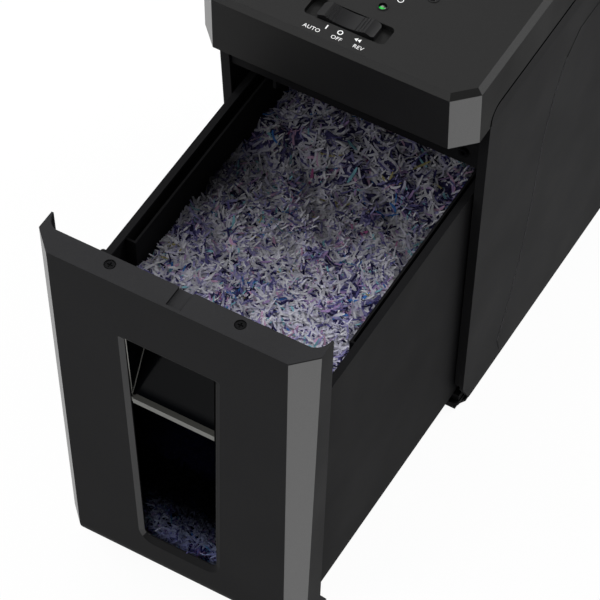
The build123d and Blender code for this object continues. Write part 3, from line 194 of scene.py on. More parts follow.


def moulded_plastic(name, colour, roughness, grain=GRAIN, depth=0.02, mottle=0.08, specular=0.06,
                    edge=0.35, painted_upper_face_light=1.0, painted_front_bevel_light=1.0, painted_side_bevel_light=1.0, flank=1.0, under=1.0, step=1.0,
                    foot=1.0, frame_gloss=0.0):
    """Injection-moulded ABS with a spark-eroded grain: fine pits break up the gloss, edges a little round.

    Its colour carries painted light and shade by the way each face lies, and a painted shade that darkens
    it to the share foot at the floor. The sloping frame on the window's left side is more
    polished by frame_gloss. Where nothing changes its gloss from place to place, that is a plain value.
    """
    made, tree, out = start(name)
    place = add(tree, "TexCoord").outputs["Object"]
    spot = add(tree, "SeparateXYZ", {0: place}).outputs
    pits = add(tree, "TexNoise", {"Vector": place, "Scale": per_mm(grain), "Detail": 2.0, "Roughness": 0.6})
    cloud = add(tree, "TexNoise", {"Vector": place, "Scale": per_mm(CLOUDING), "Detail": 3.0})
    patchy = add(tree, "MapRange", {
        0: cloud.outputs[0], 1: NOISE_LOW, 2: NOISE_HIGH, 3: 1 - mottle, 4: 1 + mottle})
    speck = add(tree, "MapRange", {0: pits.outputs[0], 1: NOISE_LOW, 2: NOISE_HIGH, 3: 0.86, 4: 1.14})
    # painted shade, darker towards the floor
    fall = add(tree, "MapRange", {0: spot["Z"], 1: 0.0, 2: FOOT_SHADE_TOP, 3: foot, 4: 1.0})
    # painted light and shade by the way each face lies, and the gloss it turns down
    lay, sheen = by_facing(tree, painted_upper_face_light, painted_front_bevel_light, painted_side_bevel_light, flank, under, step)
    light = patchy.outputs[0]
    for part in (speck.outputs[0], fall.outputs[0], lay):
        light = add(tree, "Math", {0: light, 1: part}, operation="MULTIPLY").outputs[0]
    tint = add(tree, "VectorMath", {0: srgb(colour)[:3], "Scale": light}, operation="SCALE")
    rough = add(tree, "MapRange", {
        0: cloud.outputs[0], 1: NOISE_LOW, 2: NOISE_HIGH, 3: roughness - 0.04, 4: roughness + 0.04})
    rounded = add(tree, "Bevel", {"Radius": edge * MM}, samples=4)
    bump = add(tree, "Bump", {
        "Height": pits.outputs[0], "Strength": 0.5, "Distance": depth * MM, "Normal": rounded.outputs[0]})
    # the gloss is turned down on flanks and undersides as painted shade, and raised on the window's left
    # frame
    gloss = specular
    if (flank, under, frame_gloss) != (1.0, 1.0, 0.0):
        inward = add(tree, "Math", {0: facing(tree, "X"), 1: 0.42, 2: 0.14}, operation="COMPARE")
        left = add(tree, "Math", {0: spot["X"], 1: 0.0}, operation="LESS_THAN")
        framing = add(tree, "Math", {0: inward.outputs[0], 1: left.outputs[0]}, operation="MULTIPLY")
        polish = add(tree, "MapRange", {0: framing.outputs[0], 3: specular, 4: specular + frame_gloss})
        gloss = add(tree, "Math", {0: polish.outputs[0], 1: sheen}, operation="MULTIPLY").outputs[0]
    shader = add(tree, "BsdfPrincipled", {
        "Base Color": tint.outputs[0], "Roughness": rough.outputs[0], "Normal": bump.outputs[0],
        "Specular IOR Level": gloss, "IOR": 1.5})
    tree.links.new(shader.outputs[0], out.inputs[0])
    return made


def metallic_paint(name, colour, roughness):
    """Aluminium-flake paint over plastic: a fine bright grain that reflects softly."""
    made, tree, out = start(name)
    place = add(tree, "TexCoord").outputs["Object"]
    flake = add(tree, "TexNoise", {"Vector": place, "Scale": per_mm(FLAKE), "Detail": 3.0, "Roughness": 0.7})
    shade = add(tree, "MapRange", {0: flake.outputs[0], 1: NOISE_LOW, 2: NOISE_HIGH, 3: 0.9, 4: 1.1})
    tint = add(tree, "VectorMath", {0: srgb(colour)[:3], "Scale": shade.outputs[0]}, operation="SCALE")
    rounded = add(tree, "Bevel", {"Radius": 0.25 * MM}, samples=4)
    bump = add(tree, "Bump", {
        "Height": flake.outputs[0], "Strength": 0.35, "Distance": 0.02 * MM, "Normal": rounded.outputs[0]})
    shader = add(tree, "BsdfPrincipled", {
        "Base Color": tint.outputs[0], "Metallic": 0.75, "Roughness": roughness,
        "Normal": bump.outputs[0]})
    tree.links.new(shader.outputs[0], out.inputs[0])
    return made


def polished_plastic(name, colour, roughness=0.08, specular=0.4, dark_below=None):
    """Mirror-moulded ABS: very smooth, with faint hairline rubbing that only shows in the gloss.

    Up to the height dark_below, where one is given, its gloss is taken away as a painted shade for the
    dark inside of the bin that it mirrors there, and its full gloss is back a little above that.
    """
    made, tree, out = start(name)
    place = add(tree, "TexCoord").outputs["Object"]
    stretched = add(tree, "Mapping", {"Vector": place, "Scale": (1.0, 1.0, 0.05)})
    rub = add(tree, "TexNoise", {"Vector": stretched.outputs[0], "Scale": per_mm(HAIRLINES), "Detail": 3.0})
    rough = add(tree, "MapRange", {0: rub.outputs[0], 1: 0.35, 2: 0.75, 3: roughness, 4: roughness + 0.07})
    gloss = specular
    # painted shade: no gloss below dark_below, rising to full gloss over 4 mm
    if dark_below is not None:
        height = add(tree, "SeparateXYZ", {0: place}).outputs["Z"]
        lit_from = dark_below + 4 * MM
        gloss = add(tree, "MapRange", {0: height, 1: dark_below, 2: lit_from, 3: 0.0, 4: specular}).outputs[0]
    shader = add(tree, "BsdfPrincipled", {
        "Base Color": srgb(colour), "Roughness": rough.outputs[0], "Specular IOR Level": gloss,
        "IOR": 1.5})
    tree.links.new(shader.outputs[0], out.inputs[0])
    return made


def turned_steel(name, colour, roughness, lines=TOOL_LINES):
    """Ground or plated steel: fine lines from the tool, and a patchy film of oil."""
    made, tree, out = start(name)
    place = add(tree, "TexCoord").outputs["Object"]
    stretched = add(tree, "Mapping", {"Vector": place, "Scale": (0.1, 1.0, 1.0)})
    scratch = add(tree, "TexNoise", {"Vector": stretched.outputs[0], "Scale": per_mm(lines), "Detail": 2.0})
    film = add(tree, "TexNoise", {"Vector": place, "Scale": per_mm(OIL_FILM), "Detail": 3.0})
    rough = add(tree, "MapRange", {
        0: film.outputs[0], 1: NOISE_LOW, 2: NOISE_HIGH, 3: roughness - 0.08, 4: roughness + 0.1})
    shade = add(tree, "MapRange", {0: scratch.outputs[0], 1: NOISE_LOW, 2: NOISE_HIGH, 3: 0.85, 4: 1.1})
    tint = add(tree, "VectorMath", {0: srgb(colour)[:3], "Scale": shade.outputs[0]}, operation="SCALE")
    bump = add(tree, "Bump", {"Height": scratch.outputs[0], "Strength": 0.3, "Distance": 0.01 * MM})
    shader = add(tree, "BsdfPrincipled", {
        "Base Color": tint.outputs[0], "Metallic": 1.0, "Roughness": rough.outputs[0],
        "Normal": bump.outputs[0]})
    tree.links.new(shader.outputs[0], out.inputs[0])
    return made


def rubber(name, colour):
    """Moulded rubber: dull, with a slightly dusty bloom."""
    made, tree, out = start(name)
    place = add(tree, "TexCoord").outputs["Object"]
    bloom = add(tree, "TexNoise", {"Vector": place, "Scale": per_mm(BLOOM), "Detail": 4.0})
    shade = add(tree, "MapRange", {0: bloom.outputs[0], 1: 0.35, 2: 0.75, 3: 0.9, 4: 1.5})
    tint = add(tree, "VectorMath", {0: srgb(colour)[:3], "Scale": shade.outputs[0]}, operation="SCALE")
    bump = add(tree, "Bump", {"Height": bloom.outputs[0], "Strength": 0.2, "Distance": 0.05 * MM})
    shader = add(tree, "BsdfPrincipled", {
        "Base Color": tint.outputs[0], "Roughness": 0.85, "Normal": bump.outputs[0],
        "Specular IOR Level": 0.25})
    tree.links.new(shader.outputs[0], out.inputs[0])
    return made


def clear_acrylic(name):
    """Smoke-tinted acrylic sheet: see-through, with a faint surface reflection.

    Its folded lip is a matte grey band, a painted highlight of the thick edge, and paler where it faces
    forward than on top, as painted light.
    """
    made, tree, out = start(name)
    seen = add(tree, "BsdfTransparent", {"Color": srgb("#c9ccd2")})
    gloss = add(tree, "BsdfGlossy", {"Color": (1, 1, 1, 1), "Roughness": 0.04})
    share = add(tree, "Fresnel", {"IOR": 1.006})
    side = add(tree, "NewGeometry").outputs["Backfacing"]
    front = add(tree, "Math", {0: 1.0, 1: side}, operation="SUBTRACT")
    outer = add(tree, "Math", {0: share.outputs[0], 1: front.outputs[0]}, operation="MULTIPLY")
    sheet = add(tree, "MixShader", {0: outer.outputs[0], 1: seen.outputs[0], 2: gloss.outputs[0]})
    place = add(tree, "TexCoord").outputs["Object"]
    height = add(tree, "SeparateXYZ", {0: place}).outputs["Z"]
    folded = add(tree, "Math", {0: height, 1: LIP_FOOT}, operation="GREATER_THAN")
    # painted light: the lip is paler where it faces forward than where it faces up
    upper = add(tree, "MapRange", {0: facing(tree, "Z"), 1: TURNED_UP[0], 2: TURNED_UP[1]})
    shade = add(tree, "MixRGB", {0: upper.outputs[0], 1: srgb("#737370"), 2: srgb("#4a4a47")})
    painted_lip_highlight = add(tree, "BsdfPrincipled", {
        "Base Color": shade.outputs[0], "Roughness": 0.35, "Specular IOR Level": 0.1})
    both = add(tree, "MixShader", {0: folded.outputs[0], 1: sheet.outputs[0], 2: painted_lip_highlight.outputs[0]})
    tree.links.new(both.outputs[0], out.inputs[0])
    return made


def lit_lens(name, colour, glow):
    """Smoked light pipe: its lamp shows as a crescent at the front foot of the dome, the rest stays dark."""
    made, tree, out = start(name)
    place = add(tree, "TexCoord").outputs["Object"]
    back = add(tree, "SeparateXYZ", {0: place}).outputs["Y"]
    foot, crest = LAMP_FRONT + 0.5 * MM, LAMP_FRONT + 3.2 * MM
    lit = add(tree, "MapRange", {0: back, 1: foot, 2: crest, 3: 1.0, 4: 0.0})
    strength = add(tree, "Math", {0: lit.outputs[0], 1: glow}, operation="MULTIPLY")
    shader = add(tree, "BsdfPrincipled", {
        "Base Color": srgb("#040605"), "Roughness": 0.08, "Emission Color": srgb(colour),
        "Emission Strength": strength.outputs[0]})
    tree.links.new(shader.outputs[0], out.inputs[0])
    return made


def circuit_laminate(name):
    """Green solder mask with paler tracks under it."""
    made, tree, out = start(name)
    place = add(tree, "TexCoord").outputs["Object"]
    tracks = add(tree, "TexBrick", {
        "Vector": place, "Scale": per_mm(TRACKS), "Color1": srgb("#0c3a1c"), "Color2": srgb("#0f4723"),
        "Mortar": srgb("#1c6a35"), "Mortar Size": 0.06})
    shader = add(tree, "BsdfPrincipled", {"Base Color": tracks.outputs[0], "Roughness": 0.35})
    tree.links.new(shader.outputs[0], out.inputs[0])
    return made


def heap_core(name, colour):
    """Packed shreds under the loose ones: mottled and dull, painted black as deep shade on the heap's sides.
    """
    made, tree, out = start(name)
    place = add(tree, "TexCoord").outputs["Object"]
    mottle = add(tree, "TexNoise", {
        "Vector": place, "Scale": per_mm(PACKING), "Detail": 3.0, "Roughness": 0.7})
    shade = add(tree, "MapRange", {0: mottle.outputs[0], 1: 0.35, 2: 0.65, 3: 0.4, 4: 1.7})
    # painted shade: faces that do not look up go black
    lit = add(tree, "MapRange", {0: facing(tree, "Z"), 1: TURNED_UP[0], 2: TURNED_UP[1]})
    both = add(tree, "Math", {0: shade.outputs[0], 1: lit.outputs[0]}, operation="MULTIPLY")
    tint = add(tree, "VectorMath", {0: srgb(colour)[:3], "Scale": both.outputs[0]}, operation="SCALE")
    bump = add(tree, "Bump", {"Height": mottle.outputs[0], "Strength": 0.6, "Distance": 0.5 * MM})
    shader = add(tree, "BsdfPrincipled", {
        "Base Color": tint.outputs[0], "Roughness": 0.9, "Normal": bump.outputs[0],
        "Specular IOR Level": 0.0})
    tree.links.new(shader.outputs[0], out.inputs[0])
    return made


# The arguments for tops, bevels, flanks, undersides, the step and the foot paint light and shade into these
# mouldings by how each face lies and how high it is.
head_grain = moulded_plastic("matt_grained_abs_head", "#151515", 0.5, specular=0.09,
                             painted_upper_face_light=1.3, painted_front_bevel_light=2.6, painted_side_bevel_light=5.5, flank=0.35)
side_grain = moulded_plastic("matt_grained_abs_side", "#161617", 0.6, specular=0.03, step=30.0)
panel_grain = moulded_plastic("matt_grained_abs_panel", "#1b1b1c", 0.55, specular=0.04, painted_upper_face_light=1.8,
                              flank=0.8, under=0.45, foot=0.7, frame_gloss=0.4)
bin_grain = moulded_plastic("matt_polypropylene_bin", "#121213", 0.6, specular=0.02, painted_upper_face_light=1.3)
tray_grain = moulded_plastic("matt_polypropylene_tray", "#101011", 0.6, specular=0.03)
trim_paint = metallic_paint("grey_metallic_paint", "#646464", 0.42)
scoop_gloss = polished_plastic("polished_black_abs", "#060709", 0.1, specular=0.018,
                               dark_below=LIP_TOP + 2 * MM)
slider_satin = moulded_plastic("satin_black_abs", "#141415", 0.4, grain=0.5, depth=0.01, specular=0.07)
comb_grain = moulded_plastic("black_nylon", "#18181a", 0.5)
gear_nylon = moulded_plastic("natural_nylon", "#d8d4c4", 0.4, specular=0.5)
cutter_steel = turned_steel("oiled_tool_steel", "#8d8d8f", 0.35)
plated_steel = turned_steel("zinc_plated_steel", "#b4b6b8", 0.38, lines=0.6)
blackened_steel = turned_steel("black_oxide_steel", "#0e0e0f", 0.5)
bronze = turned_steel("sintered_bronze", "#9a7440", 0.5)
motor_paint = metallic_paint("grey_motor_enamel", "#5a5c5e", 0.45)
foot_rubber = rubber("black_rubber", "#161616")
pane_acrylic = clear_acrylic("smoked_clear_acrylic")
green_light = lit_lens("green_light_pipe", "#04c83c", glow=1.7)
dark_light = polished_plastic("unlit_dark_lens", "#050303", 0.12, specular=0.1)
board_green = circuit_laminate("green_circuit_laminate")
packed_paper = heap_core("packed_paper", "#24223a")

FINISHES = {
    head_grain: ["head_cover", "feed_throat", "control_pocket", "lamp_collars"],
    side_grain: ["side_panel_left", "side_panel_right", "back_panel"],
    panel_grain: ["bin_panel"],
    bin_grain: ["bin_tub", "bin_front_frame", "inner_guard_left", "inner_guard_right"],
    tray_grain: ["base_tray", "mechanism_deck"],
    trim_paint: ["head_trim_left", "head_trim_right", "bin_trim_left", "bin_trim_right"],
    scoop_gloss: ["finger_scoop"],
    slider_satin: ["mode_slider"],
    comb_grain: ["paper_comb_left", "paper_comb_right", "paper_sensors", "mode_switch", "interlock_switch",
                 "interlock_plunger"],
    gear_nylon: ["first_gear", "second_gear"],
    cutter_steel: ["cutter_left", "cutter_right", "motor_rotor"],
    plated_steel: ["front_plate", "rear_plate", "gear_plate", "tie_rods", "back_screws",
                   "motor_screws", "board_screws"],
    blackened_steel: ["panel_screws", "rod_screws"],
    bronze: ["cutter_bushes", "gear_bushes"],
    motor_paint: ["motor_housing"],
    foot_rubber: ["rubber_feet", "cord_bush"],
    pane_acrylic: ["bin_window"],
    green_light: ["ready_lamp"],
    dark_light: ["alert_lamp"],
    board_green: ["control_board"],
    packed_paper: ["shredded_paper"],
}
for finish, names in FINISHES.items():
    for name in names:
        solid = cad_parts[name]
        if not solid.data.materials:
            solid.data.materials.append(finish)
        for index in range(len(solid.data.materials)):
            solid.data.materials[index] = finish


def mesh_piece(name, points, faces, finish, body):
    """A new mesh object in the row frame that rides on a body."""
    mesh = bpy.data.meshes.new(name)
    mesh.from_pydata(points, [], faces)
    mesh.validate()
    mesh.materials.append(finish)
    piece = bpy.data.objects.new(name, mesh)
    bpy.context.scene.collection.objects.link(piece)
    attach(piece, body)
    return piece


CORNERS = ((-1, -1), (1, -1), (1, 1), (-1, 1))       # of a strip's section, across it and through it


def strip_faces(sections):
    """Faces of a closed strip whose points go round the four corners of each section in turn."""
    faces = [(3, 2, 1, 0)]
    last = 4 * (sections - 1)
    for first in range(0, last, 4):
        for k in range(4):
            faces.append((first + k, first + (k + 1) % 4, first + (k + 1) % 4 + 4, first + k + 4))
    faces.append((last, last + 1, last + 2, last + 3))
    return faces


# ---------------------------------------------------------------- painted seam shadows and edge highlights
LINE_THICK = 0.1 * MM            # of the seams, the scoop's gap and the window's bright edge
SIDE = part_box("head_cover")[1].x
SEAM_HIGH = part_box("side_panel_right")[1].z + 0.4 * MM   # between the head and the side panels
SEAM_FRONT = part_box("side_panel_right")[0].y
SEAM_BACK = cad_high.y - 8 * MM
SEAM_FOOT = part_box("head_cover")[0].z + 0.2 * MM
SEAM_TURN = 13 * MM              # radius of the panels' upper front corners
SEAM_STEPS = 8                   # round that corner
SEAM_WIDE = 1.9 * MM
painted_shadow_black = polished_plastic("painted_seam_shadow", "#050505", 0.6, specular=0.0)


def ribbon(name, route, sideways, wide, thick, finish, body):
    """A flat strip along a route of (point, direction across it), thick along sideways."""
    points = []
    for at, across in route:
        for a, b in CORNERS:
            points.append(at + across * (a * wide / 2) + sideways * (b * thick / 2))
    mesh_piece(name, points, strip_faces(len(route)), finish, body)


def seam(name, x):
    """Black strip along the joint between the head and one side panel, a painted shadow of the gap."""
    up = Vector((0, 0, 1))
    forward = Vector((0, -1, 0))
    route = [(Vector((x, SEAM_BACK, SEAM_HIGH)), up)]
    for step in range(SEAM_STEPS + 1):
        angle = math.radians(90 * step / SEAM_STEPS)
        across = up * math.cos(angle) + forward * math.sin(angle)
        centre = Vector((x, SEAM_FRONT + SEAM_TURN, SEAM_HIGH - SEAM_TURN))
        route.append((centre + across * SEAM_TURN, across))
    route.append((Vector((x, SEAM_FRONT, SEAM_FOOT)), forward))
    ribbon(name, route, Vector((1, 0, 0)), SEAM_WIDE, LINE_THICK, painted_shadow_black, "housing")


seam("seam_left", -SIDE)
seam("seam_right", SIDE)

# A black strip paints the shadow in the gap between the scoop and the window's right side, and a grey
# strip paints the highlight on the bright edge of that side.
RIGHT_EDGE = ((30.4, 75.0), (35.7, 268.0))       # millimetres, x and z, low and high
painted_highlight_grey = polished_plastic("painted_edge_highlight", "#3a3a3a", 0.5, specular=0.0)


def right_edge(name, aside, front, foot, wide, finish):
    """A flat strip along the window's right side, from the height foot up.

    All but front is in millimetres, and aside is how far it lies to the right of that side.
    """
    (low_x, low_z), (high_x, high_z) = RIGHT_EDGE
    route = []
    for z in (foot, high_z):
        x = low_x + (high_x - low_x) * (z - low_z) / (high_z - low_z) + aside
        route.append((Vector((x * MM, front, z * MM)), Vector((1, 0, 0))))
    ribbon(name, route, Vector((0, 1, 0)), wide * MM, LINE_THICK, finish, "bin")


right_edge("scoop_gap", aside=-0.9, front=PANE_FRONT - LINE_THICK, foot=LIP_FOOT / MM - 1.5, wide=1.5,
           finish=painted_shadow_black)
right_edge("window_right_edge", aside=0.4, front=BIN_FRONT + 1.3 * MM, foot=RIGHT_EDGE[0][1], wide=0.7,
           finish=painted_highlight_grey)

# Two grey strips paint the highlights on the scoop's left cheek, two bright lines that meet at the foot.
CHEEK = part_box("finger_scoop")[0].x + 2.1 * MM
CHEEK_FOOT = Vector((CHEEK, BIN_FRONT + 4.5 * MM, LIP_TOP + 0.5 * MM))
CHEEK_WIDE, CHEEK_THICK = 0.55 * MM, 0.4 * MM
# where each line ends: millimetres behind the bin's front and above the lip
CHEEK_TOPS = {"cheek_edge_front": (1.2, 66.0), "cheek_edge_back": (25.5, 39.0)}
painted_cheek_grey = polished_plastic("painted_cheek_highlight", "#8c8c88", 0.3)
for name, (back, rise) in CHEEK_TOPS.items():
    top = Vector((CHEEK, BIN_FRONT + back * MM, LIP_TOP + rise * MM))
    across = (top - CHEEK_FOOT).normalized().cross(Vector((1, 0, 0)))
    ribbon(name, [(CHEEK_FOOT, across), (top, across)], Vector((1, 0, 0)), CHEEK_WIDE, CHEEK_THICK,
           painted_cheek_grey, "bin")


# ---------------------------------------------------------------- paper shreds
SHRED_WIDTH = (1.2, 2.3)         # millimetres, low and high
SHRED_LENGTH = (8.0, 17.0)
SHRED_THICK = 0.12
SECTIONS = 5                     # along a strip, so that it can bend
BEND, SWAY, TWIST = 0.5, 0.5, 0.4    # how far a strip curls, curves sideways and turns
TAPER = 0.45                     # its ends are narrower by this share
THIN_PAPER = 0.25                # share of the light that goes through a strip
PRINT_SIZE = 22 * MM             # across a place where printed strips gather
PRINT_SHIFT = Vector((0, 0, 9))  # chooses those places
PRINT_SHARE = 1.6                # how strongly they gather there


def shred_paper(name):
    """Office paper cut across its print: chalky strips with printed patches in their own colours."""
    made, tree, out = start(name)
    # the print attribute holds each strip's print colour with its painted light and shade
    tint = add(tree, "Attribute", attribute_name="print")
    place = add(tree, "TexCoord").outputs["Object"]
    fibre = add(tree, "TexNoise", {"Vector": place, "Scale": per_mm(FIBRE), "Detail": 3.0})
    shade = add(tree, "MapRange", {0: fibre.outputs[0], 1: NOISE_LOW, 2: NOISE_HIGH, 3: 0.85, 4: 1.05})
    colour = add(tree, "VectorMath", {0: tint.outputs[0], "Scale": shade.outputs[0]}, operation="SCALE")
    bump = add(tree, "Bump", {"Height": fibre.outputs[0], "Strength": 0.2, "Distance": 0.05 * MM})
    shader = add(tree, "BsdfPrincipled", {
        "Base Color": colour.outputs[0], "Roughness": 0.9, "Normal": bump.outputs[0],
        "Specular IOR Level": 0.05})
    through = add(tree, "BsdfTranslucent", {"Color": colour.outputs[0]})
    both = add(tree, "MixShader", {0: THIN_PAPER, 1: shader.outputs[0], 2: through.outputs[0]})
    tree.links.new(both.outputs[0], out.inputs[0])
    return made


paper = shred_paper("shredded_office_paper")

# share of the strips in each colour, then the colour; the first rows are bare paper
PAPER_COLOURS = [
    (0.30, "#d8d8e0"), (0.26, "#d0cfdd"), (0.16, "#c1bfd5"), (0.08, "#918dbb"), (0.06, "#625e94"),
    (0.045, "#35325e"), (0.02, "#22203c"), (0.022, "#a98fc0"), (0.02, "#c9a3c3"), (0.018, "#86bccb"),
    (0.009, "#4078c0"), (0.003, "#aaa26e"), (0.003, "#aa5f90"),
]
PLAIN = 0.72                     # strips below this roll are bare paper


def pick_colour(dice, cluster):
    """A shred's print colour; printed ones gather where cluster is high."""
    roll = dice.random()
    if roll < PLAIN and dice.random() < cluster:
        roll = dice.uniform(PLAIN, 1)
    total = 0
    for share, code in PAPER_COLOURS:
        total += share
        if roll < total:
            break
    return srgb(code)


def strip(dice, centre, normal, spread, curl):
    """Corners and faces of one bent paper strip lying near a surface with this normal.

    Curl makes it narrower and bends it more than the strips on top of the heap.
    """
    length = dice.uniform(*SHRED_LENGTH) * MM
    width = dice.uniform(*SHRED_WIDTH) * MM / curl
    lean = Vector((dice.gauss(0, spread), dice.gauss(0, spread), dice.gauss(0, spread)))
    upward = (normal + lean).normalized()
    along = upward.cross(Vector((dice.uniform(-1, 1), dice.uniform(-1, 1), dice.uniform(-1, 1)))).normalized()
    across = upward.cross(along)
    bend = dice.gauss(0, BEND * curl) / length
    sway = dice.gauss(0, SWAY * curl) / length
    twist = dice.gauss(0, TWIST)
    points = []
    for step in range(SECTIONS):
        t = step / (SECTIONS - 1) - 0.5
        reach = t * length
        spot = centre + along * reach + (across * sway - upward * bend) * reach * reach
        turn = twist * t
        side = across * math.cos(turn) + upward * math.sin(turn)
        face = upward * math.cos(turn) - across * math.sin(turn)
        wide = width * (1 - TAPER * (2 * t) ** 4)
        for a, b in CORNERS:
            points.append(spot + side * (a * wide / 2) + face * (b * SHRED_THICK * MM / 2))
    return points, strip_faces(SECTIONS)


heap_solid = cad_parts["shredded_paper"]
heap_surface = BVHTree.FromObject(heap_solid, bpy.context.evaluated_depsgraph_get())
into_heap = heap_solid.matrix_world.inverted()


def on_heap(start_at, heading):
    """Where a straight line first meets the heap, and the surface's normal there."""
    turn = into_heap.to_3x3()
    spot, normal = heap_surface.ray_cast(into_heap @ Vector(start_at), turn @ Vector(heading))[:2]
    if spot is None:
        return None, None
    return heap_solid.matrix_world @ spot, (heap_solid.matrix_world.to_3x3() @ normal).normalized()


def scatter(name, count, seed, place, fade, spread=0.2, curl=1.0):
    """A mesh of many strips. place gives each one's spot and surface normal, fade the painted light
    and shade that scales its colour.
    """
    dice = random.Random(seed)
    points, faces, colours = [], [], []
    while count:
        centre, normal = place(dice)
        if centre is None:
            continue
        count -= 1
        cluster = max(0.0, noise.noise(centre / PRINT_SIZE + PRINT_SHIFT) * PRINT_SHARE)
        # painted light and shade, multiplied into the strip's print colour
        shown = fade(centre)
        colour = [channel * shown for channel in pick_colour(dice, cluster)[:3]] + [1.0]
        new_points, new_faces = strip(dice, centre, normal, spread, curl)
        faces += [tuple(len(points) + i for i in face) for face in new_faces]
        points += new_points
        colours += colour * len(new_points)
    piece = mesh_piece(name, points, faces, paper, "bin")
    # the print colours with the painted light and shade in them
    layer = piece.data.color_attributes.new("print", "FLOAT_COLOR", "POINT")
    layer.data.foreach_set("color", colours)


HEAP_FRONT = BIN_FRONT + 45 * MM     # front edge of the heap's level top
UNDER_HEAD = HEAD_FRONT + 10 * MM    # from here back the heap is in the machine's shade, which is painted into the strips
EDGE = 1.5 * MM                      # strips keep this far from the heap's edges
ABOVE_HEAP = heap_high.z + 50 * MM
TOP_LAYER = (-1.5, 2.2)              # millimetres that strips lie above the heap, low and high
TOP_LIGHT = 1.16                     # painted light on the heap's front right, against a plain level
HEAD_SHADE = HEAD_FRONT - 7 * MM     # the head's painted shade is deepest here, and spreads this far
HEAD_SPREAD = 32 * MM
GUARD_SHADE = 50 * MM                # the left guard's painted shade darkens this much of the heap beside it
GUARD_DARKEST = 13 * MM              # most of all this far ahead of the head's deepest shade
GUARD_SPREAD = 45 * MM
# shares of the painted light that are lost towards the back and the left, under the head and by the guard
LOST_BACK, LOST_LEFT, LOST_HEAD, LOST_GUARD = 0.5, 0.3, 0.38, 0.95


def top_spot(x_from, x_to, y_from, y_to):
    """Chooser of places on the heap's top between two x and two y."""
    def choose(dice):
        x = dice.uniform(x_from, x_to)
        y = dice.uniform(y_from, y_to)
        spot, normal = on_heap((x, y, ABOVE_HEAP), (0, 0, -1))
        if spot is None:
            return None, None
        return spot + normal * (dice.uniform(*TOP_LAYER) * MM), normal
    return choose


def painted_heap_top_light(centre):
    """Painted light and shade on the strips: the heap's top is painted lit from the front right and
    darker towards the head and the left.
    """
    back = min(1.0, max(0.0, (centre.y - HEAP_FRONT) / (UNDER_HEAD - HEAP_FRONT)))
    left = min(1.0, max(0.0, (heap_high.x - centre.x) / (heap_high.x - heap_low.x)))
    under_head = math.exp(-((centre.y - HEAD_SHADE) / HEAD_SPREAD) ** 2)
    by_guard = max(0.0, 1 - (centre.x - heap_low.x) / GUARD_SHADE)
    by_guard *= math.exp(-((centre.y - HEAD_SHADE + GUARD_DARKEST) / GUARD_SPREAD) ** 2)
    light = TOP_LIGHT * (1 - LOST_BACK * back) * (1 - LOST_LEFT * left)
    return light * (1 - LOST_HEAD * under_head) * (1 - LOST_GUARD * by_guard)


BANDS = 3                            # pieces side by side over the open heap
BAND_STRIPS = 4600                   # in each of them
SHADE_STRIPS = 2600
BAND_SEED, SHADE_SEED, WINDOW_SEED = 11, 15, 16
amount = 1.0
left_end, right_end = heap_low.x + EDGE, heap_high.x - EDGE
for band in range(BANDS):
    band_from = left_end + (right_end - left_end) * band / BANDS
    band_to = left_end + (right_end - left_end) * (band + 1) / BANDS
    scatter(f"shreds_top_{band + 1}", int(BAND_STRIPS * amount), BAND_SEED + band,
            top_spot(band_from, band_to, HEAP_FRONT, UNDER_HEAD), painted_heap_top_light)
scatter("shreds_under_head", int(SHADE_STRIPS * amount), SHADE_SEED,
        top_spot(left_end, right_end, UNDER_HEAD, heap_high.y - EDGE), painted_heap_top_light)

WINDOW_STRIPS = 2200
WINDOW_REACH = 46 * MM               # strips lie this far to each side behind the window
WINDOW_HIGH = 120 * MM               # and up to this height
WINDOW_LAYER = (-0.5, 2.0)           # millimetres that they lie ahead of the heap, low and high
DARK_FROM, DARK_TO = 46 * MM, 98 * MM    # their painted light fades from full to none between these heights
WINDOW_LIGHT = 1.3                   # full painted light at the window's left side, and as much again at its right


def window_spot(dice):
    """A place on the heap's front face behind the window."""
    x = dice.uniform(-WINDOW_REACH, WINDOW_REACH)
    z = dice.uniform(heap_low.z + EDGE, WINDOW_HIGH)
    spot, normal = on_heap((x, BIN_FRONT, z), (0, 1, 0))
    if spot is None:
        return None, None
    return spot + normal * (dice.uniform(*WINDOW_LAYER) * MM), normal


def painted_window_light(centre):
    """Painted shade on the shreds behind the window: deep shade higher up, and darker to the left."""
    low = max(0.0, min(1.0, (DARK_TO - centre.z) / (DARK_TO - DARK_FROM)))
    across = (centre.x + WINDOW_REACH) / (2 * WINDOW_REACH)
    return low ** 2 * (WINDOW_LIGHT + WINDOW_LIGHT * across)


scatter("shreds_window", int(WINDOW_STRIPS * amount), WINDOW_SEED, window_spot, painted_window_light,
        spread=0.45, curl=1.3)


# ---------------------------------------------------------------- marks beside the switch
mark_paint = moulded_plastic("white_pad_print", "#e6e6e6", 0.6, grain=0.3, depth=0.004, mottle=0.02,
                             edge=0.02)
MARK_RAISED = 0.06 * MM          # and as far into the cover


def flat_mark(name, outlines, at):
    """Thin printed shape from closed outlines round a point on the head's top.

    Both are in millimetres, the point from the middle of the head's front edge.
    """
    points, faces = [], []
    for outline in outlines:
        base = len(points)
        count = len(outline)
        for z in (HEAD_TOP - MARK_RAISED, HEAD_TOP + MARK_RAISED):
            points += [(at[0] * MM + x * MM, HEAD_FRONT + (at[1] + y) * MM, z) for x, y in outline]
        faces.append(tuple(range(base + count, base + 2 * count)))
        faces.append(tuple(range(base + count - 1, base - 1, -1)))
        faces += [(base + i, base + (i + 1) % count, base + count + (i + 1) % count, base + count + i)
                  for i in range(count)]
    mesh_piece(name, points, faces, mark_paint, "housing")


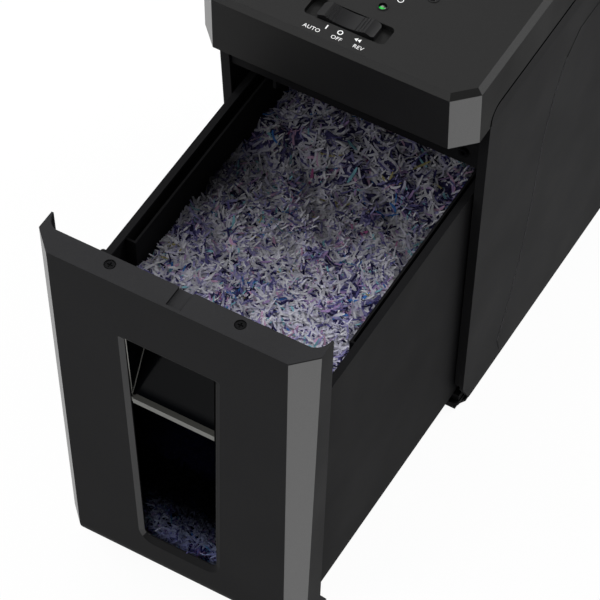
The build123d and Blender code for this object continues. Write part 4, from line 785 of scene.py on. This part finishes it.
def ring_outlines(radius, width, start_angle=0, end_angle=360, steps=40):
    """Quads that make up a ring or an arc."""
    inner, outer = radius - width / 2, radius + width / 2
    quads = []
    for step in range(steps):
        a = math.radians(start_angle + (end_angle - start_angle) * step / steps)
        b = math.radians(start_angle + (end_angle - start_angle) * (step + 1) / steps)
        quads.append([(r * math.cos(angle), r * math.sin(angle))
                      for r, angle in ((inner, a), (outer, a), (outer, b), (inner, b))])
    return quads


def bar_outline(width, low, high):
    """An upright bar between two heights."""
    return [(-width / 2, low), (width / 2, low), (width / 2, high), (-width / 2, high)]


MARK_ROW = 14.5                  # millimetres back from the head's front edge
ARROW = [(-2.2, 0), (0.1, -1.6), (0.1, 1.6)]
ARROW_PITCH = 2.5
STANDBY_BREAK = 30               # degrees that its ring is open to each side of the bar
flat_mark("mark_on_bar", [bar_outline(0.9, -1.9, 1.9)], (-10.0, MARK_ROW))
flat_mark("mark_off_ring", ring_outlines(1.7, 0.7), (0.4, MARK_ROW))
flat_mark("mark_back_arrows", [ARROW, [(x + ARROW_PITCH, y) for x, y in ARROW]], (13.6, MARK_ROW))
standby_ring = ring_outlines(2.0, 0.6, 90 + STANDBY_BREAK, 450 - STANDBY_BREAK)
flat_mark("mark_standby", standby_ring + [bar_outline(0.6, 0.4, 2.8)], (20.7, 60.9))


WORD_ROW = 8.6                   # millimetres, as the marks
WORD_SIZE = 4.5
LETTER_SPACING = 1.05


def word(name, text, at):
    """Printed word on the head's top, centred on a point."""
    curve = bpy.data.curves.new(name, "FONT")
    curve.body = text
    curve.size = WORD_SIZE * MM
    curve.align_x = "CENTER"
    curve.align_y = "CENTER"
    curve.extrude = MARK_RAISED
    curve.space_character = LETTER_SPACING
    piece = bpy.data.objects.new(name, curve)
    piece.location = (at[0] * MM, HEAD_FRONT + at[1] * MM, HEAD_TOP)
    bpy.context.scene.collection.objects.link(piece)
    bpy.context.view_layer.update()
    mesh = bpy.data.meshes.new_from_object(piece.evaluated_get(bpy.context.evaluated_depsgraph_get()))
    mesh.transform(piece.matrix_world)
    bpy.data.objects.remove(piece)
    mesh.materials.clear()
    mesh.materials.append(mark_paint)
    printed = bpy.data.objects.new(name, mesh)
    bpy.context.scene.collection.objects.link(printed)
    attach(printed, "housing")


word("word_auto", "AUTO", (-18.5, WORD_ROW))
word("word_off", "OFF", (0.6, WORD_ROW))
word("word_rev", "REV", (17.5, WORD_ROW))


# ---------------------------------------------------------------- floor, world and lamps
FLOOR = 4.0                  # metres to each side
SHOWN_WHITE = 0.95           # how far the floor shows plain white; the rest is lit, and takes the shadow
LEVEL = 0.02                 # the room's own light on the object
WHITE = (1, 1, 1, 1)
floor_mesh = bpy.data.meshes.new("floor")
floor_corners = [(x * FLOOR, y * FLOOR, 0) for x, y in CORNERS]
floor_mesh.from_pydata(floor_corners, [], [(0, 1, 2, 3)])
floor = bpy.data.objects.new("floor", floor_mesh)
bpy.context.scene.collection.objects.link(floor)


def shows_background(tree):
    """1 for rays that see the background itself: from the camera, off gloss and through glass."""
    rays = add(tree, "LightPath").outputs
    gloss = add(tree, "Math", {0: rays["Is Camera Ray"], 1: rays["Is Glossy Ray"]}, operation="MAXIMUM")
    every = add(tree, "Math", {0: gloss.outputs[0], 1: rays["Is Transmission Ray"]}, operation="MAXIMUM")
    return every.outputs[0]


floor_finish, floor_tree, floor_out = start("white_studio_floor")
floor_lit = add(floor_tree, "BsdfDiffuse", {"Color": (0.9, 0.9, 0.9, 1)})
floor_glow = add(floor_tree, "Emission", {"Color": WHITE, "Strength": 1.0})
floor_seen = add(floor_tree, "Math", {0: shows_background(floor_tree), 1: SHOWN_WHITE}, operation="MULTIPLY")
floor_mix = add(floor_tree, "MixShader", {
    0: floor_seen.outputs[0], 1: floor_lit.outputs[0], 2: floor_glow.outputs[0]})
floor_tree.links.new(floor_mix.outputs[0], floor_out.inputs[0])
floor_mesh.materials.append(floor_finish)

world = bpy.data.worlds.new("studio")
bpy.context.scene.world = world
world.use_nodes = True
sky = world.node_tree
sky.nodes.clear()
sky_strength = add(sky, "MapRange", {0: shows_background(sky), 3: LEVEL, 4: 1.0})
sky_light = add(sky, "Background", {"Color": WHITE, "Strength": sky_strength.outputs[0]})
sky_out = add(sky, "OutputWorld")
sky.links.new(sky_light.outputs[0], sky_out.inputs[0])


SOFTBOX_AIM = Vector((0, -0.05, 0.2))


def softbox(name, at, watts, side=1.2):
    """Square area lamp pointed at the object."""
    lamp = bpy.data.lights.new(name, "AREA")
    lamp.shape = "SQUARE"
    lamp.size = side
    lamp.energy = watts
    box = bpy.data.objects.new(name, lamp)
    box.location = at
    box.rotation_euler = (SOFTBOX_AIM - Vector(at)).to_track_quat("-Z", "Y").to_euler()
    bpy.context.scene.collection.objects.link(box)


softbox("softbox_left", (-2.1, 0, 1.0), watts=49)
softbox("softbox_back_right", (1.3, 1.3, 1.9), watts=56)
softbox("softbox_back_left", (-1.3, 1.3, 1.9), watts=17)
softbox("softbox_above_front", (0, -1.2, 2.1), watts=14)
softbox("softbox_front_left", (-0.74, -1.84, 1.44), watts=13, side=1.0)

bpy.context.scene.view_settings.view_transform = "Standard"
